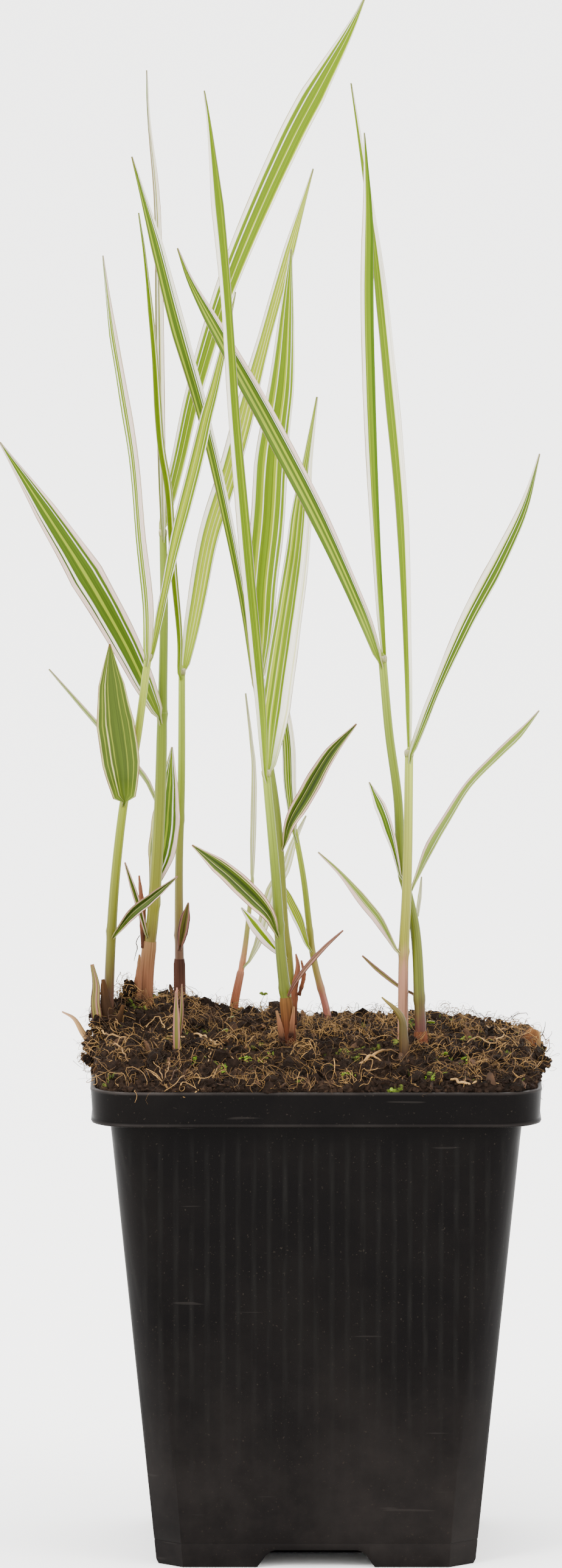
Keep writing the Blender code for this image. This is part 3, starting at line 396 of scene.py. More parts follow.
# Blades: midrib route and widths in millimetres as in the frame, fold and turn in degrees
blades = dict(
    leaf_left_low=dict(route=[(-40.2, 6, 121.7), (-37.1, 3, 126), (-33.3, -1, 129.6), (-27.8, -6, 134.5)],
                       widths=(1.6, 2.8, 2.8, 1.9, 0.2), fold=35, turn=(10, 25), look=("darkEdges", "dark")),
    leaf_left_upright=dict(route=[(-38.4, 0.5, 149), (-39.2, -2, 157.3), (-40.4, -4, 166), (-41.1, -6, 174), (-41.3, -8, 181.5)],
                           widths=(6.6, 7.9, 7.9, 5.4, 0.3), fold=14, turn=(0, 12), shoulder=1.2,
                           look=("leftUpright", "dark")),
    leaf_left_white=dict(route=[(-33.6, -3.6, 178.2), (-33.5, -5, 189), (-34.9, -7, 203), (-36.2, -9, 219), (-38.5, -11, 234),
                                (-40.4, -13, 245.6), (-42.4, -15, 259.9)],
                         widths=(2.6, 2.6, 2.3, 2.6, 2.2, 0.2), fold=30, turn=(-10, -40), look=("leftWhite", "bright")),
    leaf_left_bright=dict(route=[(-33.1, -2, 178.2), (-31, -2, 188.7), (-28, -2, 202.7), (-24.4, -2.5, 217), (-22.2, -3, 226.5),
                                 (-20.2, -3, 234), (-16.1, -3, 251.7)],
                          widths=(1.6, 1.9, 3.2, 3.2, 2.0, 0.2), fold=24, turn=(15, 28), look=("leftBright", "bright")),
    leaf_tall_foot=dict(route=[(-34.3, 15.95, 120.3), (-36, 14, 126.8), (-38.5, 11, 135.2)],
                        widths=(1.2, 1.6, 1.3, 0.2), fold=30, turn=(0, 0), look=("redMargin", "dark")),
    leaf_tall_behind=dict(route=[(-33.2, 18.7, 128.5), (-31.1, 20.2, 137.5), (-30, 21.5, 147.5), (-29.1, 23, 157.3)],
                          widths=(2.6, 5.9, 6.1, 3.7, 0.3), fold=12, turn=(8, 20), look=("behindTall", "mid")),
    leaf_tall_thin=dict(route=[(-32.4, 17.7, 147.5), (-35.2, 19, 152.5), (-44.2, 22, 162), (-48.7, 23, 167), (-54, 24, 173)],
                        widths=(1.4, 1.5, 1.3, 0.9, 0.2), fold=30, turn=(0, 20), look=("behindTall", "pale")),
    leaf_tall_broad=dict(route=[(-31.7, 14.7, 164.6), (-38.3, 10, 179.3), (-46.2, 4, 194), (-54.6, -2, 208), (-63.2, -8, 222)],
                         widths=(3.6, 6.1, 7.4, 4.6, 0.3), fold=14, turn=(8, 16), look=("tallBroad", "mid")),
    leaf_tall_rolled=dict(route=[(-30.7, 15.2, 201.6), (-31.1, 16.2, 216), (-31.6, 19, 242), (-32.1, 22, 266.8),
                                 (-33.7, 24, 284.3), (-34.1, 25, 294.2)],
                          widths=(1.9, 2.5, 2.7, 2.4, 1.6, 0.2), fold=52, turn=(0, 20), look=("tallRolled", "mid")),
    leaf_tall_long=dict(route=[(-31.3, 17.4, 201.6), (-27.8, 19, 215.8), (-24.3, 21, 231), (-17.2, 25, 253.4),
                               (-5.2, 30, 280.6), (6.2, 34, 300.8), (10, 36, 308.4)],
                        widths=(2.6, 3.4, 4.2, 5.4, 5.7, 0.3), fold=16, turn=(10, 18), look=("tallLong", "bright")),
    leaf_slim_foot=dict(route=[(-27.4, 28.5, 116.4), (-26.7, 27, 120.6), (-25.8, 25, 125.3)],
                        widths=(2.2, 3.1, 2.5, 0.2), fold=30, turn=(0, 0), look=("redMargin", "red")),
    leaf_slim_rolled=dict(route=[(-27.6, 25.8, 172.2), (-27.5, 23, 180), (-28.6, 17, 194.4), (-29.5, 12, 210),
                                 (-31.1, 9.5, 221), (-32.3, 7.5, 239.6), (-34.1, 6, 257.3), (-35.5, 5.5, 266.9)],
                          widths=(1.5, 1.9, 2.2, 2.2, 1.6, 0.2), fold=48, turn=(0, -20), look=("slimRolled", "bright")),
    leaf_slim_wide=dict(route=[(-26.8, 28, 172.2), (-24.4, 29, 185.5), (-21.8, 30.5, 199.5), (-17.4, 32, 213.7),
                               (-12, 33, 234), (-5, 34, 258.8), (-0.5, 34, 273.7)],
                        widths=(2.6, 4.1, 4.7, 4.5, 2.9, 2.6, 0.2), fold=16, turn=(10, 20), look=("slimWide", "bright")),
    leaf_front_purple=dict(route=[(-5.2, -14.2, 112.2), (-4.2, -15.4, 114.2), (-1.7, -17.5, 117.9), (2.1, -20.5, 122.4),
                                  (5.4, -23, 125.7)],
                           widths=(1.1, 1.3, 1.3, 0.9, 0.2), fold=35, turn=(0, 0), look=("purpleFold", "red")),
    leaf_front_arching=dict(route=[(-8.1, -14.8, 124.8), (-9.4, -16.4, 128), (-12.1, -18, 131.3), (-17, -22, 136.5),
                                   (-20.6, -25, 139.8), (-24.7, -28, 143.4)],
                            widths=(2.2, 4.0, 4.2, 3.3, 0.3), fold=18, turn=(0, 12), look=("pinkEdges", "dark")),
    leaf_front_broad=dict(route=[(-9.5, -13.2, 156.2), (-8.8, -12, 164.4), (-7.9, -11, 171.3), (-5.9, -8, 185),
                                 (-3.9, -5.5, 198.7), (-2.4, -3, 213), (0.2, 0, 230.4)],
                          widths=(3.4, 6.3, 6.0, 5.4, 4.6, 2.0, 0.3), fold=14, turn=(4, 12), look=("frontBroad", "bright")),
    leaf_front_folded=dict(route=[(-10.2, -15.8, 156.2), (-11.2, -17, 172), (-13.8, -19.5, 200), (-16.2, -20.5, 228),
                                  (-18.1, -21.5, 256), (-20.9, -22, 284), (-22.2, -22, 293.2)],
                           widths=(1.8, 2.9, 3.3, 2.9, 2.6, 3.1, 0.2), fold=36, turn=(0, -12), look=("frontFolded", "bright")),
    leaf_middle_bitten=dict(route=[(-6.8, 5.4, 117.6), (-7.8, 5, 118), (-10.9, 4, 121.6), (-15, 3, 127)],
                            widths=(1.6, 3.0, 2.6, 0.2), fold=20, turn=(0, 10), look=("bitten", "bright")),
    leaf_middle_side=dict(route=[(-6.3, 5.2, 139.6), (-5.2, 4, 144.1), (-2.3, 2, 149.5), (2.6, -1, 158.4), (8.1, -4, 165)],
                          widths=(1.8, 3.5, 3.8, 2.7, 0.3), fold=20, turn=(0, 14), look=("pinkEdges", "dark")),
    leaf_middle_broad=dict(route=[(-11.6, 9, 171.8), (-11.5, 9.5, 180.7), (-11.2, 10.5, 190.2), (-9.8, 12, 204.3),
                                  (-8.9, 13, 218), (-7, 14, 232), (-5.9, 14.8, 246.2), (-5, 15.5, 258.8)],
                           widths=(3.2, 6.6, 7.1, 7.0, 5.6, 3.4, 0.3), fold=12, turn=(4, 12), look=("middleBroad", "bright")),
    leaf_middle_long=dict(route=[(-12.5, 6.6, 171.6), (-14, 5.5, 184.8), (-17.8, 4.5, 205), (-22.6, 3, 226),
                                 (-28, 0.5, 245.3), (-32.1, -1, 261.6), (-36.8, -2, 278.7)],
                          widths=(1.7, 1.9, 2.4, 2.7, 3.6, 2.9, 0.2), fold=26, turn=(20, 10), look=("middleLong", "mid")),
    leaf_back_low=dict(route=[(-1.7, 32.8, 115.8), (-3.3, 30, 120.8), (-5.4, 26, 125.7), (-7.8, 21, 131.4)],
                       widths=(1.6, 2.3, 2.0, 0.2), fold=20, turn=(0, 10), look=("slimWide", "bright")),
    leaf_back_upper=dict(route=[(-4.3, 31, 138.6), (-5.2, 29, 149), (-5.7, 27, 159), (-7.8, 25, 169.7), (-11.5, 22, 185.8),
                                (-13, 21, 191.8)],
                         widths=(1.8, 2.9, 2.7, 2.0, 0.2), fold=20, turn=(0, 20), look=("frontBroad", "mid")),
    leaf_pink_side=dict(route=[(-13.5, 37.2, 111.8), (-11.3, 37, 116.8), (-9, 36.5, 126.2), (-6.4, 36.5, 130.3),
                               (-4.4, 36.5, 136.5), (-1.9, 36.5, 141.7)],
                        widths=(1.2, 2.5, 2.5, 1.8, 0.2), fold=20, turn=(0, 10), look=("palest", "pale")),
    leaf_pink_thin=dict(route=[(-12.9, 37.4, 128.2), (-12.5, 37, 149.4), (-13.1, 36.5, 157.4), (-14.2, 36, 166.8)],
                        widths=(1.2, 1.5, 1.4, 0.8, 0.2), fold=35, turn=(0, 0), look=("palest", "pale")),
    leaf_right_wisp=dict(route=[(20.0, -9.2, 110.6), (19.3, -7, 111), (17, -5.8, 112), (12.6, -5, 115.3), (9.3, -5, 118.3)],
                         widths=(0.8, 0.8, 0.9, 0.8, 0.2), fold=20, turn=(0, 0), look=("redMargin", "red")),
    leaf_right_inner=dict(route=[(16.8, -11, 135.4), (15.6, -11.4, 140.8), (14.5, -12, 144.5), (13.3, -13, 148.2),
                                 (10.6, -14, 154.4)],
                          widths=(1.1, 1.6, 2.4, 2.5, 0.2), fold=22, turn=(0, 10), look=("innerArm", "mid")),
    leaf_right_outer=dict(route=[(19.7, -8.1, 133.4), (22.6, -7, 140.2), (26.3, -5, 146.3), (30.5, -2, 152.5),
                                 (36.1, 1, 158), (41, 3.2, 162.5), (44.9, 5, 166.7)],
                          widths=(1.3, 2.4, 2.0, 1.7, 1.8, 2.0, 0.2), fold=28, turn=(0, 20), look=("outerArm", "pale")),
    leaf_right_leaning=dict(route=[(12.7, -11.2, 178.7), (8.9, -12, 188.9), (0.9, -12.5, 206.6), (-9, -13.5, 225.7),
                                   (-18, -14.8, 242), (-24.6, -15.8, 254), (-27.6, -16.5, 261.5)],
                            widths=(2.6, 3.1, 3.9, 4.3, 4.0, 2.8, 0.2), fold=20, turn=(0, 10), look=("rightLeaning", "mid")),
    leaf_right_upright=dict(route=[(13.5, -9.3, 178.7), (12.5, -8, 192), (10.9, -6, 219.7), (10, -4.5, 247.8),
                                   (10.1, -4, 268.5), (9.6, -4, 283.6)],
                            widths=(1.6, 2.0, 2.8, 3.1, 3.0, 0.2), fold=26, turn=(15, 25), look=("halfWhite", "bright")),
    leaf_right_front_inner=dict(route=[(15.9, -12.1, 120.7), (12.6, -14, 126.5), (9.9, -15, 130), (5, -17, 136.2),
                                       (0.4, -18, 140.8)],
                                widths=(1.3, 2.4, 2.4, 1.2, 0.2), fold=28, turn=(0, 10), look=("roseArm", "pale")),
    leaf_right_front_outer=dict(route=[(18.9, -15.4, 160.2), (23.7, -17, 173), (29.7, -19, 187), (36.4, -20.5, 200),
                                       (41.2, -21.5, 210.4), (44.4, -22, 221)],
                                widths=(2.2, 2.0, 3.1, 3.8, 2.6, 0.2), fold=24, turn=(0, 14), look=("paleArm", "mid")),
    leaf_right_front_upright=dict(route=[(18.6, -13.4, 160.2), (18.3, -11, 178.3), (17.1, -8, 207), (14.7, -4, 233.5),
                                         (12, 0, 259), (8.9, 3, 280.4), (7, 5, 292.9)],
                                  widths=(1.3, 1.9, 2.8, 3.3, 3.0, 1.6, 0.2), fold=28, turn=(10, 20), look=("halfGreen", "bright")),
    scale_left=dict(route=[(-43.4, 5.4, 100.6), (-44.4, 5.2, 107), (-44.3, 6, 111), (-45.1, 7, 115)],
                    widths=(2.6, 2.4, 1.9, 0.8), fold=30, turn=(0, 0), look=("deadScale", "red")),
)

bladeTree = makeBladeTree()
bladeThickness = 0.2
# Collar: how far up the blade its shoulders and its deeper fold run, and that fold in degrees
collar = dict(shoulder=1.8, run=9.0, fold=58.0)


def stemOf(name):
    # The stem that a leaf grows from: the longest stem name that its own name starts with
    owners = [key for key in stems if name.startswith("leaf" + key[4:] + "_")]
    return max(owners, key=len) if owners else None


def sweepStrip(name, path, length, run, halfWidths, folds, turns, material, thickness=bladeThickness):
    # A folded strip along a path, turned about it by the given angles
    tangents = np.gradient(path, axis=0)
    sides, fronts = [], []
    for tangent, angle in zip(tangents, turns):
        heading = Vector(tangent).normalized()
        side = heading.cross(Vector((0, 1, 0))).normalized()
        front = side.cross(heading).normalized()
        if front.y > 0:
            front = -front
        sides.append(tuple(math.cos(angle) * side + math.sin(angle) * front))
        fronts.append(tuple(math.cos(angle) * front - math.sin(angle) * side))
    made = meshObject(name, pathMesh(name, path, {
        "halfWidth": halfWidths * mm, "side": sides, "front": fronts, "centre": path * mm, "fold": folds,
        "wave": np.full(len(path), 0.05), "along": run / length}))
    runNodes(made, bladeTree, {"Across": 17, "Rib Height": 0.00003, "Ribs": 28.0, "Material": material})
    solid = made.modifiers.new("thickness", "SOLIDIFY")
    solid.thickness = thickness * mm
    solid.offset = 0.0
    return made


def makeBlade(name, leaf):
    count = max(20, round(smoothRoute(leaf["route"], 20)[1] / 1.6))
    path, length = smoothRoute(leaf["route"], count)
    halfWidths = np.maximum(smoothValues(leaf["widths"], count), 0.12) / 2
    turns = np.radians(smoothValues(leaf["turn"], count))
    folds = np.full(count, math.radians(leaf["fold"]))
    run = np.linspace(0, length, count)
    owner = stemOf(name)
    if owner:
        # Round shoulders at the collar, and a narrow tongue that goes into the stem
        axis, stemLength = smoothRoute(stems[owner]["route"], 120)
        nearest = int(np.argmin(np.linalg.norm(axis - path[0], axis=1)))
        root = axis[max(nearest - max(2, round(2.2 / stemLength * 119)), 0)]
        shoulder = leaf.get("shoulder", collar["shoulder"])
        bulge = np.sqrt(1 - (1 - np.clip(run / shoulder, 0, 1)) ** 2)
        stemHalf = smoothValues(stems[owner]["widths"], 120)[nearest] / 2
        low = min(stemHalf * 0.9, halfWidths[0])
        wide = np.maximum(halfWidths, low * np.clip(1.5 - run / (3 * shoulder), 0, 1))
        halfWidths = np.where(bulge < 1, low + (np.maximum(wide, low) - low) * bulge, wide)
        steps = 5
        mixes = [(step + 1) / (steps + 1) for step in range(steps)]
        tongue = [root + (path[0] - root) * mix for mix in mixes]
        path = np.concatenate([tongue, path])
        halfWidths = np.concatenate([[low * (0.5 + 0.5 * mix) for mix in mixes], halfWidths])
        folds = np.concatenate([[math.radians(collar["fold"])] * steps, folds])
        blend = np.clip(1 - run / collar["run"], 0, 1)
        folds[steps:] = folds[steps:] + (math.radians(collar["fold"]) - folds[steps:]) * blend
        turns = np.concatenate([[turns[0]] * steps, turns])
        run = np.concatenate([[0.0] * steps, run])
    made = sweepStrip(name + "_blade", path, length, run, halfWidths, folds, turns, leafMaterial(*leaf["look"]))
    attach(made, "root")
    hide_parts(name)
    return made


def makeStemMaterial(name, foot, low, high, top, footShare):
    # Grass stem wrapped in its sheaths: waxy, with fine lengthwise lines, coloured at the foot
    material, tree, shader = materialOf(name)
    uv = addNode(tree, "ShaderNodeUVMap", uv_map="UVMap").outputs[0]
    along = addNode(tree, "ShaderNodeSeparateXYZ", {0: uv}).outputs[1]
    patch = addNode(tree, "ShaderNodeTexNoise", {"Vector": uv, "Scale": 9.0, "Detail": 3.0}).outputs[0]
    wobble = math2(tree, "MULTIPLY", math2(tree, "SUBTRACT", patch, 0.5), 0.10)
    coloured = addRamp(tree, math2(tree, "ADD", along, wobble),
                       [(0.0, foot), (footShare, foot), (footShare + 0.10, low), (0.68, high), (1.0, top)])
    space = addNode(tree, "ShaderNodeMapping", {"Vector": uv, "Scale": (30.0, 1.6, 1.0)}).outputs[0]
    lines = addNode(tree, "ShaderNodeTexNoise", {"Vector": space, "Scale": 1.0, "Detail": 3.0}).outputs[0]
    tone = addNode(tree, "ShaderNodeMapRange", {"Value": lines, "From Min": 0.3, "From Max": 0.7,
                                                "To Min": 0.56, "To Max": 1.2}).outputs[0]
    lined = addNode(tree, "ShaderNodeVectorMath", {0: coloured}, operation="SCALE")
    tree.links.new(tone, lined.inputs["Scale"])
    tree.links.new(lined.outputs[0], shader.inputs["Base Color"])
    isLive = name.startswith(("stem", "sprout"))
    shader.inputs["Roughness"].default_value = 0.42 if isLive else 0.65
    shader.inputs["Specular IOR Level"].default_value = 0.14 if isLive else 0.04
    bump = addNode(tree, "ShaderNodeBump", {"Height": lines, "Strength": 0.35, "Distance": 0.0001})
    tree.links.new(bump.outputs[0], shader.inputs["Normal"])
    return material


stemFinishes = dict(
    stemGreen=("#3C2416", "#484412", "#6A7416", "#7E882A", 0.13),
    stemBrownFoot=("#4A3022", "#605E18", "#50600C", "#60701A", 0.16),
    stemSlimFoot=("#4A3424", "#5A4E24", "#5E6A14", "#758426", 0.24),
    stemRedFoot=("#3E2018", "#464A0E", "#505C0C", "#6A7822", 0.16),
    stemRoseFoot=("#86604C", "#6C6A22", "#6E7024", "#7A8430", 0.36),
    stemPinkFoot=("#74463A", "#685828", "#5C6412", "#6C781C", 0.26),
    stemDark=("#7A4426", "#565012", "#4E5812", "#64701E", 0.12),
    stemSalmon=("#8E563C", "#926444", "#7A7438", "#848C40", 0.42),
    sproutSheath=("#64412A", "#6A5230", "#5E5A24", "#8E5A48", 0.22),
    sproutOlive=("#2A180A", "#38280E", "#3A3010", "#5E5022", 0.40),
    edgeSprout=("#5A3A22", "#785838", "#8A6C46", "#8E7058", 0.20),
    deadSheath=("#24140E", "#4A3020", "#68442F", "#6C5034", 0.12),
    darkSheath=("#160C08", "#2E1A12", "#3E261C", "#301C14", 0.10),
    footSheath=("#22100A", "#3A1C10", "#442414", "#4E3418", 0.50),
    brownShard=("#140C06", "#1E120A", "#281A0E", "#382412", 0.10),
    barkSkin=("#1C100A", "#38200F", "#4A2C18", "#5A3C22", 0.20),
    redSheath=("#260E0A", "#401A12", "#4A2018", "#4E2E1C", 0.20),
    orangeSheath=("#3C2216", "#54301E", "#623A28", "#6E4A36", 0.20),
    salmonSheath=("#46281A", "#603822", "#70422E", "#7E5440", 0.20),
    tanSheath=("#2A1E14", "#4C3A22", "#654C2E", "#7E6844", 0.20),
    liguleMembrane=("#6E7A24", "#8E9250", "#B0AC80", "#BDB596", 0.10),
)
stemMaterials = {name: makeStemMaterial(name, *codes) for name, codes in stemFinishes.items()}

# Stems: route in millimetres as in the frame, widths at foot, middle and top, nodes as shares of the length
stems = dict(
    stem_left=dict(route=[(-42, 8, 98), (-41.5, 8, 115), (-40.5, 6, 131.5), (-38.5, 2, 149), (-36, 0, 161), (-33.7, -2, 177.9)],
                   widths=(2.1, 1.85, 1.5), nodes=(0.29, 0.65), look="stemGreen"),
    stem_tall=dict(route=[(-34.7, 18, 97), (-34.2, 18, 112), (-32.8, 17, 125), (-31.5, 16, 146), (-31, 16, 164),
                          (-30.6, 16, 186), (-30.8, 16, 201.1)],
                   widths=(2.7, 2.6, 2.5, 2.4, 2.4, 2.3, 2.2, 1.8, 1.7, 1.6, 1.5), nodes=(0.28, 0.65), look="stemBrownFoot"),
    stem_slim=dict(route=[(-27.5, 30, 97), (-27.7, 30, 116.5), (-27.7, 29, 132), (-27.2, 28, 150.5), (-27.1, 27, 171.8)],
                   widths=(2.1, 1.6, 1.4), nodes=(0.28, 0.60), look="stemSlimFoot"),
    stem_front=dict(route=[(-4.6, -13, 91), (-5.7, -13, 107), (-7.1, -13, 120.5), (-8, -14, 134.5), (-9.9, -14.5, 155.85)],
                    widths=(2.6, 2.0, 1.7), nodes=(0.33, 0.53), look="stemRedFoot"),
    stem_middle=dict(route=[(-5.2, 6, 92), (-5.1, 6, 112.5), (-6.2, 6, 123.5), (-7.1, 6, 139), (-8.5, 7, 151.5),
                            (-12.1, 8, 171.4)],
                     widths=(1.8, 1.3, 1.2), nodes=(0.33, 0.60), look="stemDark"),
    stem_back=dict(route=[(3.4, 34, 93), (2.4, 34, 101.5), (-0.4, 34, 113), (-2.3, 33, 128.5), (-4, 32, 138.4)],
                   widths=(1.6, 1.3, 1.1), nodes=(0.30, 0.55), look="stemPinkFoot"),
    stem_pink=dict(route=[(-17.5, 38, 95), (-16.5, 38, 103), (-14.4, 38, 114), (-12.9, 37.5, 127.8)],
                   widths=(1.8, 1.2, 0.8), nodes=(0.50,), look="stemSalmon"),
    stem_right=dict(route=[(21.4, -12, 91), (20.8, -11, 109), (19.9, -9.5, 124), (17.2, -9.5, 137), (16.4, -9, 150.5),
                           (14.6, -9.5, 164), (13.3, -10, 178.3)],
                    widths=(2.4, 1.9, 1.7), nodes=(0.22, 0.50), look="stemRedFoot"),
    stem_right_front=dict(route=[(17.4, -6, 91), (17.5, -8.5, 109), (17.6, -11, 120), (18.1, -13.5, 131), (18.4, -14, 143),
                                 (18.6, -14, 159.8)],
                          widths=(2.2, 2.0, 1.7), nodes=(0.42,), look="stemRoseFoot"),
    sprout_front=dict(route=[(-27.6, -17, 92), (-27.6, -17, 100), (-27.9, -17.5, 106), (-27.8, -18, 113.5)],
                      widths=(2.0, 1.3, 0.3), nodes=(), look="sproutSheath"),
    sprout_right=dict(route=[(17.9, -22, 92), (17.5, -22, 104), (16.8, -22, 108.5), (13.1, -21, 112)],
                      widths=(2.5, 2.4, 2.0, 1.4, 0.3), nodes=(), look="sproutOlive"),
    sprout_edge=dict(route=[(-40.5, 12, 99.2), (-45, 12, 98.4), (-46.9, 12, 100.2), (-48.8, 12.5, 103.2), (-51.3, 13, 104.6)],
                     widths=(1.5, 1.5, 1.3, 0.9, 0.3), nodes=(), look="edgeSprout"),
)
stemTree = makeStemTree()


def makeStem(name, stem):
    count = max(30, round(smoothRoute(stem["route"], 20)[1] / 0.9))
    path, length = smoothRoute(stem["route"], count)
    along = np.linspace(0, 1, count)
    halfWidths = smoothValues(stem["widths"], count) / 2
    if name.startswith("stem"):
        # The top runs on between the leaf bases and closes in a blunt point
        ahead = (path[-1] - path[-3]) / np.linalg.norm(path[-1] - path[-3])
        path = np.concatenate([path, [path[-1] + ahead * step for step in (0.5, 1.0, 1.4, 1.7)]])
        halfWidths = np.concatenate([halfWidths, halfWidths[-1] * np.array([0.95, 0.8, 0.55, 0.2])])
        along = np.concatenate([along, [1.0] * 4])
    for node in stem["nodes"]:
        away = (along - node) * length
        # A node is a short swelling, and the sheath above it starts a little wider
        halfWidths = halfWidths * (1 + 0.16 * np.exp(-(away / 0.8) ** 2)) * np.where(away > 0, 1 + 0.05 * np.exp(-away / 9), 1)
    made = meshObject(name + "_shoot", pathMesh(name + "_shoot", path, {"halfWidth": halfWidths * mm, "along": along}))
    runNodes(made, stemTree, {"Sides": 20, "Flute": 0.02, "Material": stemMaterials[stem["look"]]})
    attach(made, "root")
    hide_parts(name)
    return made


for name, stem in stems.items():
    makeStem(name, stem)
print("stems made:", len(stems))

for name, leaf in blades.items():
    makeBlade(name, leaf)
print("blades made:", len(blades))

# Loose strips, in millimetres as in the frame: dead sheaths, torn flakes, leaflets and chips of bark
flakes = dict(
    tornSheath=dict(route=[(-34.8, 16.8, 117), (-35.1, 16.8, 125), (-35.7, 16.4, 131.9)], widths=(1.2, 1.7, 0.3), fold=-35,
                    look="orangeSheath"),
    slimFlake=dict(route=[(-28.2, 27.8, 103.6), (-29.1, 27.6, 106.4), (-29.6, 27.4, 108.3)], widths=(1.7, 1.5, 0.3), fold=-30,
                   look="darkSheath"),
    frontCurlLow=dict(route=[(-6.6, -14.6, 102.0), (-7.2, -14.5, 105.4), (-7.9, -14.3, 108.4)], widths=(1.6, 1.4, 0.4), fold=-40,
                      look="deadSheath"),
    frontCurlHigh=dict(route=[(-5.0, -14.5, 103.0), (-4.7, -14.4, 106.4), (-4.4, -14.2, 109.2)], widths=(1.2, 1.1, 0.3), fold=30,
                       look="deadSheath"),
    middleRagged=dict(route=[(-4.6, 4.4, 103), (-4.3, 4.3, 110), (-3.6, 4.2, 114.6), (-4.0, 4.0, 117.5)],
                      widths=(1.8, 1.9, 1.4, 0.3), fold=-35, look="orangeSheath"),
    middleTorn=dict(route=[(-3.4, 4.2, 109), (-2.4, 4.0, 113), (-2.9, 4.0, 116.2)], widths=(0.7, 1.0, 0.3), fold=25,
                    look="orangeSheath"),
    leftShard=dict(route=[(-41.2, 4.6, 99.8), (-42.2, 4.8, 106), (-42.9, 5.2, 112.2)], widths=(3.4, 3.0, 0.8), fold=-30,
                   look="brownShard"),
    leftDead=dict(route=[(-40.4, 2.6, 101.0), (-39.6, 2.0, 104.4), (-38.8, 2.0, 107.4)], widths=(1.4, 1.5, 0.6), fold=-30,
                  look="brownShard"),
    tallDead=dict(route=[(-36.4, 13.6, 103.5), (-36.0, 14.0, 109.5), (-35.6, 15.0, 116.0)], widths=(2.2, 2.0, 0.4), fold=-40,
                  look="deadSheath"),
    redFoot=dict(route=[(21.4, -12.6, 95.2), (21.9, -12.6, 99), (21.4, -12.4, 102.4)], widths=(3.4, 3.0, 0.6), fold=-45,
                 look="redSheath"),
    barkChunk=dict(route=[(40.6, -2.0, 96.5), (42.6, 0.0, 99.6), (44.0, 1.0, 102.6)], widths=(4.4, 4.6, 2.4), fold=28,
                   look="barkSkin"),
    barkSplit=dict(route=[(43.4, 2.0, 97.5), (44.6, 2.4, 100.0), (44.9, 2.6, 102.0)], widths=(2.0, 2.2, 0.8), fold=-28,
                   look="tanSheath"),
    rearWood=dict(route=[(-23.6, 36.0, 100.4), (-21.2, 36.0, 102.4), (-18.6, 36.5, 101.2)], widths=(1.6, 3.0, 1.2), fold=-35,
                  look="tanSheath"),
    rearChip=dict(route=[(-17.0, 38.0, 99.8), (-15.4, 38.0, 101.4), (-13.8, 38.2, 100.6)], widths=(1.2, 2.0, 0.8), fold=-35,
                  look="tanSheath"),
    leftStraw=dict(route=[(-40.6, 10.0, 103.8), (-39.0, 4.0, 103.0), (-37.6, -2.0, 101.6)], widths=(0.8, 1.2, 0.5), fold=-30,
                   look="tanSheath"),
    leftChip=dict(route=[(-43.0, -6.0, 99.0), (-41.6, -8.0, 100.4), (-40.0, -9.0, 100.0)], widths=(1.6, 2.2, 0.8), fold=-35,
                  look="tanSheath"),
    frontSproutLeft=dict(route=[(-27.9, -18.3, 99.0), (-27.9, -18.9, 104.0), (-28.0, -18.8, 113.0)], widths=(1.3, 1.8, 1.5, 0.3),
                         fold=34, look=("sproutFold", "red")),
    frontSproutRight=dict(route=[(-27.3, -18.0, 104.0), (-26.9, -18.0, 108.0), (-26.8, -17.8, 114.2)], widths=(0.8, 1.0, 0.2),
                          fold=34, look=("redMargin", "red")),
    wisp=dict(route=[(20.3, -6.2, 126.4), (20.9, -6.0, 131.0), (21.2, -6.0, 134.4)], widths=(0.8, 0.9, 0.2), fold=30,
              look=("palest", "pale")),
    leafletLeft=dict(route=[(-23.6, -21.6, 98.3), (-22.9, -21.8, 99.6), (-22.0, -22.0, 100.1)], widths=(0.3, 1.2, 0.3), fold=15,
                     look=("greenPlain", "bright")),
    leafletMiddle=dict(route=[(-19.2, 4.0, 100.5), (-18.4, 3.8, 101.8), (-17.6, 3.6, 102.2)], widths=(0.3, 1.1, 0.3), fold=15,
                       look=("greenPlain", "bright")),
    leafletRight=dict(route=[(21.8, 20.0, 99.6), (22.8, 19.6, 101.2), (24.2, 19.4, 101.6)], widths=(0.4, 1.5, 0.3), fold=15,
                      look=("greenPlain", "bright")),
    leafletPale=dict(route=[(-17.8, 20.0, 101.0), (-17.2, 20.0, 102.2), (-16.4, 20.0, 102.6)], widths=(0.3, 1.0, 0.3), fold=15,
                     look=("greenPlain", "pale")),
    seedlingLeft=dict(route=[(-10.6, 42.0, 104.2), (-11.0, 41.8, 104.6), (-11.4, 41.6, 104.5)], widths=(0.3, 0.7, 0.2), fold=10,
                      look=("greenPlain", "pale")),
    seedlingRight=dict(route=[(-10.6, 42.0, 104.2), (-10.1, 41.8, 104.5), (-9.7, 41.6, 104.4)], widths=(0.3, 0.6, 0.2), fold=10,
                       look=("greenPlain", "pale")),
)


def makeFlake(name, flake):
    count = 24
    path, length = smoothRoute(flake["route"], count)
    ragged = np.array([1 + 0.30 * noise.noise(Vector((step * 0.5, len(name), path[0][0]))) for step in range(count)])
    isLeaf = not isinstance(flake["look"], str)
    halfWidths = smoothValues(flake["widths"], count) / 2 * (1 if isLeaf else ragged)
    material = leafMaterial(*flake["look"]) if isLeaf else stemMaterials[flake["look"]]
    made = sweepStrip(name, path, length, np.linspace(0, length, count), halfWidths,
                      np.full(count, math.radians(flake["fold"])), np.zeros(count), material, thickness=0.12)
    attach(made, "root")
    return made


for name, flake in flakes.items():
    makeFlake(name, flake)

